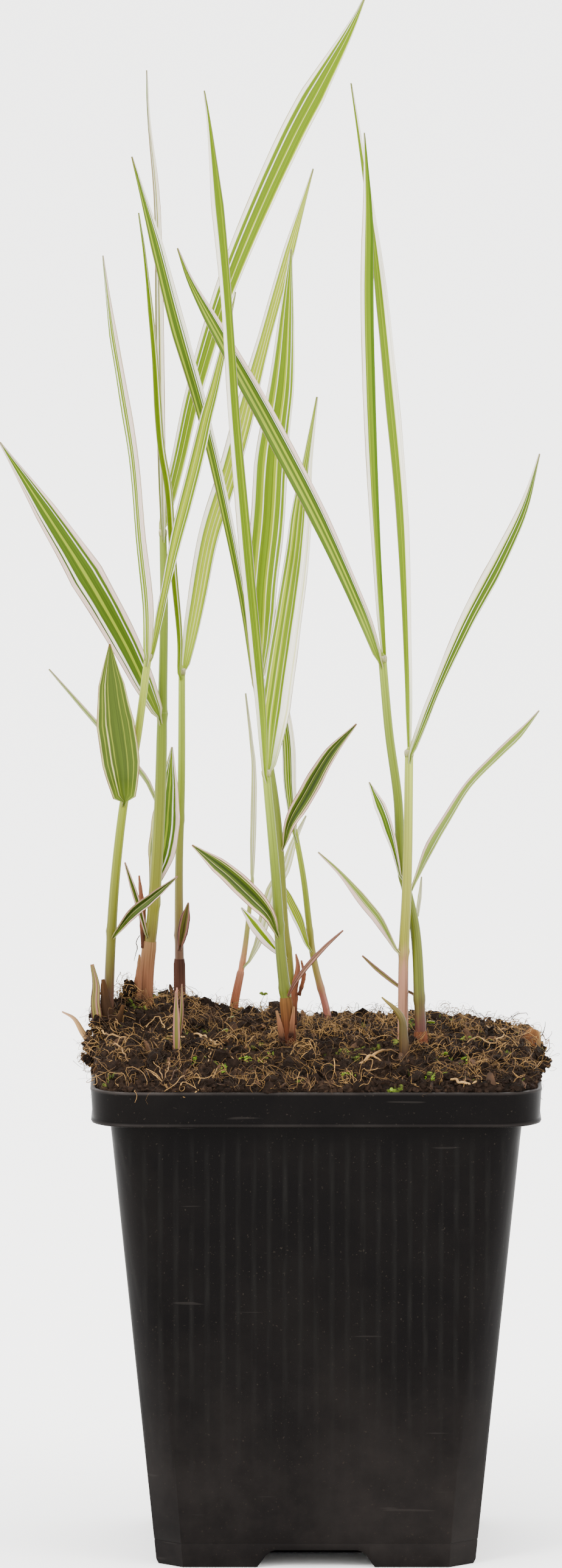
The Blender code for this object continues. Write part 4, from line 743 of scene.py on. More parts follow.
# Dead sheaths that still wrap a stem: which stem, from and to as shares of its length, added width, finish
sheaths = dict(
    tallSheath=("stem_tall", 0.0, 0.21, 0.45, "deadSheath"), slimSheath=("stem_slim", 0.0, 0.22, 0.5, "darkSheath"),
    frontSheath=("stem_front", 0.0, 0.31, 0.4, "footSheath"), middleSheath=("stem_middle", 0.0, 0.22, 0.7, "orangeSheath"),
    rightSheath=("stem_right", 0.0, 0.15, 0.5, "redSheath"), pinkSheath=("stem_pink", 0.0, 0.45, 0.3, "salmonSheath"),
    leftSheath=("stem_left", 0.0, 0.08, 0.7, "darkSheath"),
)
for name, (stemName, low, high, extra, look) in sheaths.items():
    axis = smoothRoute(stems[stemName]["route"], 200)[0]
    path = axis[int(low * 199):int(high * 199) + 1]
    count = len(path)
    halfWidths = (smoothValues(stems[stemName]["widths"], 200)[int(low * 199):int(high * 199) + 1] + extra) / 2
    halfWidths = halfWidths - extra * 0.42 * np.clip((np.arange(count) - count + 4) / 4, 0, 1)
    made = meshObject(name, pathMesh(name, path, {"halfWidth": halfWidths * mm, "along": np.linspace(0, 1, count)}))
    runNodes(made, stemTree, {"Sides": 24, "Flute": 0.05, "Material": stemMaterials[look]})
    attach(made, "root")

# Ligules: a thin pale membrane stands around the stem inside the base of each larger blade
for name, leaf in blades.items():
    owner = stemOf(name)
    if owner is None or leaf["route"][0][2] < 150:
        continue
    axis, stemLength = smoothRoute(stems[owner]["route"], 120)
    start = np.array(leaf["route"][0]) + np.array([0, 0, routeLevel])
    nearest = int(np.argmin(np.linalg.norm(axis - start, axis=1)))
    wide = smoothValues(stems[owner]["widths"], 120)[nearest]
    heading = axis[min(nearest + 1, 119)] - axis[max(nearest - 1, 0)]
    heading = heading / np.linalg.norm(heading)
    steps = np.linspace(-0.5, 1.1, 7)
    path = np.array([axis[nearest] + heading * step for step in steps])
    flare = np.array([0.95, 1.04, 1.10, 1.14, 1.16, 1.14, 0.95])
    made = meshObject(name + "_ligule", pathMesh(name + "_ligule", path, {
        "halfWidth": wide / 2 * flare * mm, "along": np.linspace(0, 1, 7)}))
    runNodes(made, stemTree, {"Sides": 20, "Flute": 0.04, "Material": stemMaterials["liguleMembrane"]})
    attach(made, "root")
print("sheaths and ligules made")

# Pot: black polypropylene, moulded. Sizes in millimetres as in the frame
potSizes = dict(height=97.5, rimHalf=45.0, rimBand=7.1, rimCorner=9.5, bodyTopHalf=41.0, footHalf=31.9, wall=0.95,
                floorUnder=3.7, floorTop=4.9, panelHalf=14.0, ribPitch=3.1, ribDepth=0.16, cornerSteps=10, sideSteps=60)
notchOutline = [(8.2, 3.6), (9.3, 3.2), (10.3, 2.2), (11.8, 0.0), (12.4, -1.0)]


def squareRing(half, corner, straight, cornerSteps, sideSteps):
    # A square outline whose corners run from round (straight 0) to a plain 45 degree cut (straight 1)
    points = []
    for quarter in range(4):
        turn = math.pi / 2 * quarter
        span = half - corner
        ring = []
        for step in range(cornerSteps + 1):
            t = step / cornerSteps
            roundX = span + corner * math.cos(t * math.pi / 2)
            roundY = span + corner * math.sin(t * math.pi / 2)
            ring.append(((1 - straight) * roundX + straight * (half - corner * t),
                         (1 - straight) * roundY + straight * (span + corner * t)))
        ring += [(span - 2 * span * step / sideSteps, half) for step in range(1, sideSteps)]
        points += [(x * math.cos(turn) - y * math.sin(turn), x * math.sin(turn) + y * math.cos(turn)) for x, y in ring]
    return points


def bridge(shape, lower, upper):
    for i in range(len(lower)):
        j = (i + 1) % len(lower)
        shape.faces.new((lower[i], lower[j], upper[j], upper[i]))


def closeRing(shape, loop, place):
    centre = shape.verts.new(Vector(place) * mm)
    for i in range(len(loop)):
        shape.faces.new((loop[i], loop[(i + 1) % len(loop)], centre))


def finishShape(name, shape, material, angle=35):
    bmesh.ops.recalc_face_normals(shape, faces=shape.faces)
    mesh = bpy.data.meshes.new(name)
    shape.to_mesh(mesh)
    shape.free()
    mesh.materials.append(material)
    mesh.shade_smooth()
    mesh.set_sharp_from_angle(angle=math.radians(angle))
    return meshObject(name, mesh)


def makePotMaterial():
    # Black polypropylene from a polished mould: satin, with dust in its grain, scuffs and fine scratches, and painted
    # highlights and a painted floor reflection in its colour
    material, tree, shader = materialOf("blackPolypropylene")
    place = addNode(tree, "ShaderNodeTexCoord").outputs["Object"]
    grime = addNode(tree, "ShaderNodeTexNoise", {"Vector": place, "Scale": 38.0, "Detail": 5.0, "Roughness": 0.65}).outputs[0]
    film = addNode(tree, "ShaderNodeMapRange", {"Value": grime, "From Min": 0.42, "From Max": 0.75}).outputs[0]
    tall = addNode(tree, "ShaderNodeMapping", {"Vector": place, "Scale": (900.0, 900.0, 60.0)}).outputs[0]
    grain = addNode(tree, "ShaderNodeTexNoise", {"Vector": tall, "Scale": 1.0, "Detail": 2.0}).outputs[0]
    specks = addNode(tree, "ShaderNodeTexNoise", {"Vector": place, "Scale": 2100.0, "Detail": 1.0}).outputs[0]
    dust = addNode(tree, "ShaderNodeMapRange", {"Value": specks, "From Min": 0.70, "From Max": 0.78, "To Max": 0.7}).outputs[0]
    lean = addNode(tree, "ShaderNodeMapping", {"Vector": place, "Scale": (60.0, 60.0, 900.0),
                                               "Rotation": (0.25, 0.35, 0.0)}).outputs[0]
    scratchNoise = addNode(tree, "ShaderNodeTexNoise", {"Vector": lean, "Scale": 1.0, "Detail": 1.0}).outputs[0]
    scratch = addNode(tree, "ShaderNodeMapRange", {"Value": scratchNoise, "From Min": 0.74, "From Max": 0.77}).outputs[0]
    # Painted highlight: the colour is lighter along the crests of the upright ribs on each wall, fading out near the
    # rim and the foot
    axes = addNode(tree, "ShaderNodeSeparateXYZ", {0: place})
    facing = addNode(tree, "ShaderNodeSeparateXYZ", {0: addNode(tree, "ShaderNodeNewGeometry").outputs["Normal"]})
    isFront = addNode(tree, "ShaderNodeMath", {0: math2(tree, "ABSOLUTE", facing.outputs[1], 0.0), 1: 0.7},
                      operation="GREATER_THAN").outputs[0]
    run = addNode(tree, "ShaderNodeMix", {0: isFront, 2: axes.outputs[1], 3: axes.outputs[0]}, data_type="FLOAT").outputs[0]
    wave = math2(tree, "COSINE", math2(tree, "MULTIPLY", run, 2 * math.pi / (potSizes["ribPitch"] * mm)), 0.0)
    crest = addNode(tree, "ShaderNodeMapRange", {"Value": wave, "From Min": 0.2, "From Max": 1.0}).outputs[0]
    below = addNode(tree, "ShaderNodeMapRange", {"Value": axes.outputs[2], "From Min": 0.0895, "From Max": 0.0845}).outputs[0]
    above = addNode(tree, "ShaderNodeMapRange", {"Value": axes.outputs[2], "From Min": 0.010, "From Max": 0.045}).outputs[0]
    uneven = addNode(tree, "ShaderNodeMapRange", {"Value": grain, "From Min": 0.3, "From Max": 0.75}).outputs[0]
    ribHighlight = math2(tree, "MULTIPLY", math2(tree, "MULTIPLY", crest, uneven), math2(tree, "MULTIPLY", below, above))
    base = addNode(tree, "ShaderNodeMix", {"Factor": film, 6: srgb("#040303"), 7: srgb("#0A0807")}, data_type="RGBA")
    # The rib crests take this lighter colour as a painted highlight
    ribbed = addNode(tree, "ShaderNodeMix", {"Factor": ribHighlight, 6: base.outputs[2], 7: srgb("#0C0B0A")}, data_type="RGBA")
    # Painted highlights on the top edge, which also carries dust, and on the lip under the rim, and a painted
    # reflection of the floor that grows towards the foot
    topEdge = addNode(tree, "ShaderNodeMapRange", {"Value": axes.outputs[2], "From Min": 0.0969, "From Max": 0.0974}).outputs[0]
    lipGap = math2(tree, "ABSOLUTE", math2(tree, "SUBTRACT", axes.outputs[2], 0.0909), 0.0)
    lipHighlight = addNode(tree, "ShaderNodeMapRange", {"Value": lipGap, "From Min": 0.0004, "From Max": 0.0, "To Max": 0.45}).outputs[0]
    # Painted floor reflection: the colour lightens towards the foot
    foot = addNode(tree, "ShaderNodeMapRange", {"Value": axes.outputs[2], "From Min": 0.050, "From Max": 0.008,
                                                "To Max": 0.22}).outputs[0]
    edges = math2(tree, "MAXIMUM", math2(tree, "MAXIMUM", topEdge, lipHighlight), foot)
    edgeSheenAndDust = math2(tree, "MULTIPLY", edges, math2(tree, "ADD", film, 0.45))
    # Edges and foot take this lighter colour: painted highlight and floor reflection, with dust on the top edge
    sheenAndDustBase = addNode(tree, "ShaderNodeMix", {"Factor": edgeSheenAndDust, 6: ribbed.outputs[2], 7: srgb("#282422")}, data_type="RGBA")
    dusty = addNode(tree, "ShaderNodeMix", {"Factor": dust, 6: sheenAndDustBase.outputs[2], 7: srgb("#1E1A16")}, data_type="RGBA")
    mark = math2(tree, "MULTIPLY", scratch, 0.35)
    marked = addNode(tree, "ShaderNodeMix", {"Factor": mark, 6: dusty.outputs[2], 7: srgb("#201D1B")}, data_type="RGBA")
    tree.links.new(marked.outputs[2], shader.inputs["Base Color"])
    rough = addNode(tree, "ShaderNodeMapRange", {"Value": grime, "To Min": 0.30, "To Max": 0.55}).outputs[0]
    tree.links.new(rough, shader.inputs["Roughness"])
    shader.inputs["IOR"].default_value = 1.49
    shader.inputs["Specular IOR Level"].default_value = 0.03
    bump = addNode(tree, "ShaderNodeBump", {"Height": grain, "Strength": 0.12, "Distance": 0.0001})
    tree.links.new(bump.outputs[0], shader.inputs["Normal"])
    return material


def makePot():
    s = potSizes
    shape = bmesh.new()
    rimBottom = s["height"] - s["rimBand"]
    skirt = s["footHalf"] - 0.35

    def half(height, inset=0.0):
        return s["footHalf"] + (s["bodyTopHalf"] - s["footHalf"]) * height / rimBottom - inset

    def corner(height):
        t = height / rimBottom
        return 5.3 + 2.2 * t, (1 - t) ** 0.7

    def ring(height, halfSide, cornerSize, straight, ribs=0.0):
        loop = []
        for x, y in squareRing(halfSide, cornerSize, straight, s["cornerSteps"], s["sideSteps"]):
            if ribs:
                # Shallow upright ribs on the flat of each wall
                onX = abs(abs(x) - halfSide) < 1e-6
                run = y if onX else x
                flat = halfSide - cornerSize - 1.5
                if abs(run) < flat and (onX or abs(abs(y) - halfSide) < 1e-6):
                    depth = ribs * (0.5 + 0.5 * math.cos(2 * math.pi * run / s["ribPitch"]))
                    x, y = (x - math.copysign(depth, x), y) if onX else (x, y - math.copysign(depth, y))
            loop.append(shape.verts.new(Vector((x, y, height)) * mm))
        return loop

    loops = [ring(0, s["panelHalf"], 6, 0), ring(s["floorUnder"], s["panelHalf"] + 1.2, 6, 0),
             ring(s["floorUnder"], half(s["floorUnder"], s["wall"]), 4.9, 1), ring(0, skirt - s["wall"], 4.8, 1),
             ring(0, skirt, 5.0, 1), ring(0.9, half(0.9), *corner(0.9)), ring(s["floorTop"] - 0.3, half(4.6), *corner(4.6)),
             ring(s["floorTop"], half(4.9, 0.12), *corner(4.9)), ring(s["floorTop"] + 0.3, half(5.2), *corner(5.2))]
    for height in (8, 16, 26, 36, 46, 56, 66, 76, 84, 86):
        fade = min(1.0, (height - 4) / 22) * (0.0 if height == 86 else 1.0)
        loops.append(ring(height, half(height), *corner(height), ribs=s["ribDepth"] * fade))
    rim = s["rimHalf"]
    rc = s["rimCorner"]
    loops += [ring(rimBottom - 0.3, half(rimBottom), 7.5, 0), ring(rimBottom, half(rimBottom, -0.4), 7.6, 0),
              ring(rimBottom, rim - 0.8, rc - 0.5, 0), ring(rimBottom + 0.15, rim - 0.35, rc - 0.3, 0),
              ring(rimBottom + 0.5, rim - 0.2, rc - 0.2, 0), ring(rimBottom + 0.85, rim - 0.35, rc - 0.3, 0),
              ring(rimBottom + 1.0, rim - 0.5, rc - 0.4, 0), ring(s["height"] - 0.9, rim - 0.2, rc - 0.1, 0),
              ring(s["height"] - 0.4, rim - 0.05, rc, 0), ring(s["height"] - 0.1, rim - 0.2, rc - 0.1, 0),
              ring(s["height"], rim - 0.5, rc - 0.3, 0), ring(s["height"], rim - 0.9, rc - 0.7, 0),
              ring(s["height"] - 0.2, rim - 1.1, rc - 1, 0), ring(rimBottom + 1.6, rim - 1.6, rc - 1.4, 0)]
    for height in (rimBottom + 1.2, 66, 44, 22, s["floorTop"]):
        low = min(height, rimBottom)
        loops.append(ring(height, half(low, s["wall"]), corner(low)[0] - 0.6, corner(low)[1]))
    loops += [ring(s["floorTop"], s["panelHalf"] + 2.2, 6.6, 0), ring(1.2, s["panelHalf"] + 1, 6, 0)]
    for lower, upper in zip(loops, loops[1:]):
        bridge(shape, lower, upper)
    closeRing(shape, loops[0], (0, 0, 0))
    closeRing(shape, loops[-1], (0, 0, 1.2))
    pot = finishShape("potShell", shape, makePotMaterial())

    outline = [(-x, z) for x, z in reversed(notchOutline)] + list(notchOutline)
    cutters = bmesh.new()
    for quarter in range(4):
        turn = math.pi / 2 * quarter
        ends = []
        for y in (-s["footHalf"] - 2, -s["footHalf"] + 3):
            ends.append([cutters.verts.new(Vector((x * math.cos(turn) - y * math.sin(turn),
                                                   x * math.sin(turn) + y * math.cos(turn), z)) * mm) for x, z in outline])
        bridge(cutters, ends[0], ends[1])
        cutters.faces.new(ends[0])
        cutters.faces.new(ends[1])
        place = (22.0 * (1 if quarter in (0, 3) else -1), 22.0 * (1 if quarter < 2 else -1))
        rings = []
        for z in (s["floorUnder"] - 1, s["floorTop"] + 1):
            rings.append([cutters.verts.new(Vector((place[0] + 3.5 * math.cos(a * math.pi / 12),
                                                    place[1] + 3.5 * math.sin(a * math.pi / 12), z)) * mm) for a in range(24)])
        bridge(cutters, rings[0], rings[1])
        cutters.faces.new(rings[0])
        cutters.faces.new(rings[1])
    cutter = finishShape("potCutter", cutters, pot.data.materials[0])
    modifier = pot.modifiers.new("notches", "BOOLEAN")
    modifier.object = cutter
    modifier.operation = "DIFFERENCE"
    bpy.context.view_layer.update()
    mesh = bpy.data.meshes.new_from_object(pot.evaluated_get(bpy.context.evaluated_depsgraph_get()))
    pot.modifiers.clear()
    pot.data = mesh
    bpy.data.objects.remove(cutter, do_unlink=True)
    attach(pot, "root")
    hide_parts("pot")
    return pot


makePot()
print("pot made")

# Soil: peat mounded over the rim. Heights in millimetres over the rim, mounds as x, y, height and spreads
soilSizes = dict(level=97.5, low=92.1, edgeRise=0.6, rise=4.0, riseRun=34.0, half=43.6, corner=8.0, lump=1.6, rings=72,
                 mounds=[(-32, 25, 4.6, 14, 17), (-40, 12, 3.2, 6, 9), (2, 38, -1.0, 24, 14), (40, 32, -3.2, 10, 20)])


def soilHeight(x, y):
    s = soilSizes
    run = min(max((y + 45.0) / s["riseRun"], 0), 1)
    height = s["edgeRise"] + s["rise"] * run * run * (3 - 2 * run)
    for moundX, moundY, rise, spreadX, spreadY in s["mounds"]:
        height += rise * math.exp(-((x - moundX) / spreadX) ** 2 - ((y - moundY) / spreadY) ** 2)
    return height


def makeSoilMaterial(name, darkest, brown, pale, mossShare):
    # Moist peat compost: matt crumbs from black to red brown, paler where they have dried, green where moss grows
    material, tree, shader = materialOf(name)
    place = addNode(tree, "ShaderNodeTexCoord").outputs["Object"]
    fine = addNode(tree, "ShaderNodeTexNoise", {"Vector": place, "Scale": 900.0, "Detail": 4.0, "Roughness": 0.7}).outputs[0]
    broad = addNode(tree, "ShaderNodeTexNoise", {"Vector": place, "Scale": 110.0, "Detail": 3.0}).outputs[0]
    tone = math2(tree, "ADD", math2(tree, "MULTIPLY", fine, 0.65), math2(tree, "MULTIPLY", broad, 0.4))
    earth = addRamp(tree, tone, [(0.40, darkest), (0.62, brown), (0.76, pale)])
    patch = addNode(tree, "ShaderNodeTexNoise", {"Vector": place, "Scale": 95.0, "Detail": 4.0, "Roughness": 0.7}).outputs[0]
    moss = addNode(tree, "ShaderNodeMapRange", {"Value": patch, "From Min": 0.64 - mossShare, "From Max": 0.72 - mossShare,
                                                "To Min": 0.0, "To Max": 0.75}).outputs[0]
    green = addNode(tree, "ShaderNodeMix", {"Factor": moss, 6: earth, 7: srgb("#5F7226")}, data_type="RGBA")
    tree.links.new(green.outputs[2], shader.inputs["Base Color"])
    shader.inputs["Roughness"].default_value = 0.92
    shader.inputs["Specular IOR Level"].default_value = 0.03
    bump = addNode(tree, "ShaderNodeBump", {"Height": fine, "Strength": 0.8, "Distance": 0.0005})
    tree.links.new(bump.outputs[0], shader.inputs["Normal"])
    return material


peatMaterial = makeSoilMaterial("moistPeat", "#0A0705", "#1B130E", "#33261B", 0.0)
crumbMaterial = makeSoilMaterial("peatCrumbs", "#0E0907", "#241A13", "#463525", 0.02)


def makeSoil():
    s = soilSizes
    shape = bmesh.new()
    loops = [[shape.verts.new(Vector((x, y, s["low"])) * mm) for x, y in squareRing(s["half"] - 0.9, s["corner"] - 0.5, 0, 6, 40)]]
    for i in range(s["rings"]):
        part = 1 - i / s["rings"]
        loop = []
        for x, y in squareRing(s["half"] * part, s["corner"] * part, 0, 6, 40):
            place = Vector((x, y, 0))
            lumps = noise.fractal(place * 0.30, 0.9, 2.1, 4) * s["lump"] + abs(noise.noise(place * 0.9)) * 0.9
            edge = min(1.0, (1 - part) * 14 + 0.35)
            height = s["level"] + max(soilHeight(x, y) * edge + lumps * min(1.0, edge + 0.2), -0.8)
            loop.append(shape.verts.new(Vector((x, y, height)) * mm))
        loops.append(loop)
    for lower, upper in zip(loops, loops[1:]):
        bridge(shape, lower, upper)
    closeRing(shape, loops[0], (0, 0, s["low"]))
    closeRing(shape, loops[-1], (0, 0, s["level"] + soilHeight(0, 0)))
    return finishShape("soilMound", shape, peatMaterial, angle=60)


def patchyPoints(tree, given):
    # Points on the upward faces, thicker in patches. Patch 0 is even, and 1 leaves bare places between
    normal = addNode(tree, "ShaderNodeSeparateXYZ", {0: addNode(tree, "GeometryNodeInputNormal").outputs[0]}).outputs[2]
    upward = addNode(tree, "FunctionNodeCompare", {0: normal, 1: given.outputs["Facing"]},
                     operation="GREATER_THAN", data_type="FLOAT")
    spot = vectorMath(tree, "ADD", addNode(tree, "GeometryNodeInputPosition").outputs[0],
                      addNode(tree, "ShaderNodeCombineXYZ", {0: given.outputs["Seed"]}).outputs[0])
    cloud = addNode(tree, "ShaderNodeTexNoise", {"Vector": spot, "Scale": 110.0, "Detail": 1.0}).outputs[0]
    cloud = addNode(tree, "ShaderNodeMapRange", {"Value": cloud, "From Min": 0.42, "From Max": 0.62,
                                                 "To Min": math2(tree, "SUBTRACT", 1.0, given.outputs["Patch"]),
                                                 "To Max": 1.0}).outputs[0]
    density = math2(tree, "MULTIPLY", cloud, given.outputs["Density"])
    return addNode(tree, "GeometryNodeDistributePointsOnFaces", {
        "Mesh": given.outputs["Geometry"], "Selection": upward.outputs[0], "Density": density,
        "Seed": given.outputs["Seed"]})


def makeCrumbTree():
    # Scatters rough grains, lumps or flakes over the faces it is given
    tree, given, result = groupWith("scatterCrumbs", {
        "Density": ("NodeSocketFloat", 1e6), "Seed": ("NodeSocketInt", 1), "Smallest": ("NodeSocketFloat", 0.0003),
        "Largest": ("NodeSocketFloat", 0.001), "Patch": ("NodeSocketFloat", 0.0), "Facing": ("NodeSocketFloat", 0.0),
        "Detail": ("NodeSocketInt", 1), "Slimmest": ("NodeSocketVector", None), "Fattest": ("NodeSocketVector", None),
        "Jag": ("NodeSocketFloat", 0.0008), "Material": ("NodeSocketMaterial", None)})
    points = patchyPoints(tree, given)
    grain = addNode(tree, "GeometryNodeMeshIcoSphere", {"Radius": 1.0, "Subdivisions": given.outputs["Detail"]})
    size = addNode(tree, "FunctionNodeRandomValue", {2: given.outputs["Smallest"], 3: given.outputs["Largest"],
                                                     "Seed": given.outputs["Seed"]}, data_type="FLOAT").outputs[1]
    squash = addNode(tree, "FunctionNodeRandomValue", {0: given.outputs["Slimmest"], 1: given.outputs["Fattest"],
                                                       "Seed": 5}, data_type="FLOAT_VECTOR").outputs[0]
    turn = addNode(tree, "FunctionNodeRandomValue", {0: (-3.1, -3.1, -3.1), 1: (3.1, 3.1, 3.1), "Seed": 9},
                   data_type="FLOAT_VECTOR").outputs[0]
    placed = addNode(tree, "GeometryNodeInstanceOnPoints", {
        "Points": points.outputs[0], "Instance": grain.outputs[0], "Rotation": turn,
        "Scale": vectorMath(tree, "SCALE", squash, scale=size)})
    whole = addNode(tree, "GeometryNodeRealizeInstances", {"Geometry": placed.outputs[0]})
    jag = addNode(tree, "ShaderNodeTexNoise", {"Vector": addNode(tree, "GeometryNodeInputPosition").outputs[0],
                                               "Scale": 1400.0, "Detail": 1.0}).outputs["Color"]
    push = vectorMath(tree, "SCALE", vectorMath(tree, "SUBTRACT", jag, (0.5, 0.5, 0.5)), scale=given.outputs["Jag"])
    rough = addNode(tree, "GeometryNodeSetPosition", {"Geometry": whole.outputs[0], "Offset": push})
    done = addNode(tree, "GeometryNodeSetMaterial", {"Geometry": rough.outputs[0], "Material": given.outputs["Material"]})
    tree.links.new(done.outputs[0], result.inputs[0])
    return tree


def makeFibreTree():
    # Scatters straight threads, bends each with noise, then gives them their thickness
    tree, given, result = groupWith("scatterFibres", {
        "Density": ("NodeSocketFloat", 1e5), "Seed": ("NodeSocketInt", 1), "Length": ("NodeSocketFloat", 0.006),
        "Thickness": ("NodeSocketFloat", 0.00012), "Bend": ("NodeSocketFloat", 0.005), "Curl": ("NodeSocketFloat", 260.0),
        "Rise": ("NodeSocketFloat", 0.5), "Patch": ("NodeSocketFloat", 0.0), "Facing": ("NodeSocketFloat", 0.0),
        "Material": ("NodeSocketMaterial", None)})
    points = patchyPoints(tree, given)
    thread = addNode(tree, "GeometryNodeCurvePrimitiveLine", {"Start": (-0.5, 0, 0), "End": (0.5, 0, 0)})
    thread = addNode(tree, "GeometryNodeResampleCurve", {"Curve": thread.outputs[0], "Count": 22})
    tilt = given.outputs["Rise"]
    low = addNode(tree, "ShaderNodeCombineXYZ", {0: 0.0, 1: math2(tree, "MULTIPLY", tilt, -1.0), 2: -3.15})
    high = addNode(tree, "ShaderNodeCombineXYZ", {0: 0.0, 1: tilt, 2: 3.15})
    turn = addNode(tree, "FunctionNodeRandomValue", {0: low.outputs[0], 1: high.outputs[0], "Seed": 3},
                   data_type="FLOAT_VECTOR").outputs[0]
    size = addNode(tree, "FunctionNodeRandomValue", {2: 0.35, 3: 1.3, "Seed": 4}, data_type="FLOAT").outputs[1]
    length = math2(tree, "MULTIPLY", size, given.outputs["Length"])
    placed = addNode(tree, "GeometryNodeInstanceOnPoints", {
        "Points": points.outputs[0], "Instance": thread.outputs[0], "Scale": length, "Rotation": turn})
    own = addNode(tree, "FunctionNodeRandomValue", {0: (-9, -9, -9), 1: (9, 9, 9), "Seed": 8}, data_type="FLOAT_VECTOR").outputs[0]
    marked = addNode(tree, "GeometryNodeStoreNamedAttribute", {"Geometry": placed.outputs[0], "Name": "own", "Value": own},
                     data_type="FLOAT_VECTOR", domain="INSTANCE")
    whole = addNode(tree, "GeometryNodeRealizeInstances", {"Geometry": marked.outputs[0]})
    spot = addNode(tree, "ShaderNodeVectorMath", {0: addNode(tree, "GeometryNodeInputPosition").outputs[0],
                                                  1: namedValue(tree, "own", "FLOAT_VECTOR")}, operation="ADD")
    sway = addNode(tree, "ShaderNodeTexNoise", {"Vector": spot.outputs[0], "Scale": given.outputs["Curl"],
                                                "Detail": 1.0}).outputs["Color"]
    centred = addNode(tree, "ShaderNodeVectorMath", {0: sway, 1: (0.5, 0.5, 0.42)}, operation="SUBTRACT")
    push = addNode(tree, "ShaderNodeVectorMath", {0: centred.outputs[0]}, operation="SCALE")
    tree.links.new(given.outputs["Bend"], push.inputs["Scale"])
    bent = addNode(tree, "GeometryNodeSetPosition", {"Geometry": whole.outputs[0], "Offset": push.outputs[0]})
    ring = addNode(tree, "GeometryNodeCurvePrimitiveCircle", {"Resolution": 3, "Radius": 1.0})
    taper = addNode(tree, "GeometryNodeSplineParameter").outputs["Factor"]
    thin = math2(tree, "SUBTRACT", 1.0, math2(tree, "MULTIPLY", taper, 0.75))
    spread = addNode(tree, "ShaderNodeSeparateXYZ", {0: namedValue(tree, "own", "FLOAT_VECTOR")}).outputs[0]
    spread = addNode(tree, "ShaderNodeMapRange", {"Value": spread, "From Min": -9.0, "From Max": 9.0,
                                                  "To Min": 0.45, "To Max": 1.7}).outputs[0]
    thickness = math2(tree, "MULTIPLY", math2(tree, "MULTIPLY", thin, spread), given.outputs["Thickness"])
    swept = addNode(tree, "GeometryNodeCurveToMesh", {"Curve": bent.outputs[0], "Profile Curve": ring.outputs[0],
                                                     "Scale": thickness, "Fill Caps": True})
    smooth = addNode(tree, "GeometryNodeSetShadeSmooth", {"Geometry": swept.outputs[0]})
    done = addNode(tree, "GeometryNodeSetMaterial", {"Geometry": smooth.outputs[0], "Material": given.outputs["Material"]})
    tree.links.new(done.outputs[0], result.inputs[0])
    return tree


def makeFibreMaterial(name, pale, dark):
    # Grass roots and plant fibre: dull, straw to brown, varied from thread to thread
    material, tree, shader = materialOf(name)
    place = addNode(tree, "ShaderNodeTexCoord").outputs["Object"]
    patch = addNode(tree, "ShaderNodeTexNoise", {"Vector": place, "Scale": 240.0, "Detail": 3.0}).outputs[0]
    share = addNode(tree, "ShaderNodeMapRange", {"Value": patch, "From Min": 0.38, "From Max": 0.72}).outputs[0]
    colour = addNode(tree, "ShaderNodeMix", {"Factor": share, 6: srgb(dark), 7: srgb(pale)}, data_type="RGBA")
    tree.links.new(colour.outputs[2], shader.inputs["Base Color"])
    shader.inputs["Roughness"].default_value = 0.7
    shader.inputs["Specular IOR Level"].default_value = 0.10
    return material


def scatter(name, ground, tree, values):
    made = meshObject(name, ground.data.copy())
    runNodes(made, tree, values)
    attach(made, "root")
    return made


soil = makeSoil()
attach(soil, "root")
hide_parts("soil")
crumbTree = makeCrumbTree()
fibreTree = makeFibreTree()
rootMaterial = makeFibreMaterial("strawRoots", "#93703F", "#33241A")
paleRootMaterial = makeFibreMaterial("paleRoots", "#98784A", "#5E4528")
hairMaterial = makeFibreMaterial("darkFibres", "#35281A", "#120D09")
barkMaterial = makeFibreMaterial("barkFlakes", "#4A321F", "#1A120C")
mossMaterial = makeFibreMaterial("cushionMoss", "#6C8A16", "#2C3C0A")
grainShape = {"Slimmest": (0.6, 0.6, 0.45), "Fattest": (1.3, 1.1, 0.9)}
flakeShape = {"Slimmest": (0.8, 0.35, 0.10), "Fattest": (1.9, 0.8, 0.22)}
mossShape = {"Slimmest": (0.25, 0.25, 0.8), "Fattest": (0.45, 0.45, 1.4)}
scatter("soilCrumbs", soil, crumbTree, {"Density": 8.8e5, "Seed": 11, "Smallest": 0.0003, "Largest": 0.0009, "Patch": 0.2,
                                        "Facing": -0.2, "Detail": 1, "Jag": 0.0008, "Material": crumbMaterial, **grainShape})
scatter("soilLumps", soil, crumbTree, {"Density": 8.0e4, "Seed": 12, "Smallest": 0.0007, "Largest": 0.0021, "Patch": 0.6,
                                       "Facing": 0.0, "Detail": 2, "Jag": 0.0022, "Material": peatMaterial, **grainShape})
scatter("soilFlakes", soil, crumbTree, {"Density": 2.6e4, "Seed": 13, "Smallest": 0.0006, "Largest": 0.0018, "Patch": 0.3,
                                        "Facing": 0.1, "Detail": 1, "Jag": 0.0006, "Material": barkMaterial, **flakeShape})
scatter("soilRoots", soil, fibreTree, {"Density": 2.0e5, "Seed": 21, "Length": 0.0056, "Thickness": 0.00006, "Bend": 0.012,
                                       "Curl": 460.0, "Rise": 0.45, "Patch": 0.9, "Facing": 0.0, "Material": rootMaterial})
scatter("soilStraws", soil, fibreTree, {"Density": 1.1e4, "Seed": 23, "Length": 0.0066, "Thickness": 0.00011, "Bend": 0.009,
                                        "Curl": 380.0, "Rise": 0.3, "Patch": 0.6, "Facing": 0.0, "Material": rootMaterial})
scatter("soilHairs", soil, fibreTree, {"Density": 1.0e5, "Seed": 22, "Length": 0.0040, "Thickness": 0.00005, "Bend": 0.010,
                                       "Curl": 600.0, "Rise": 0.8, "Patch": 0.3, "Facing": 0.0, "Material": hairMaterial})

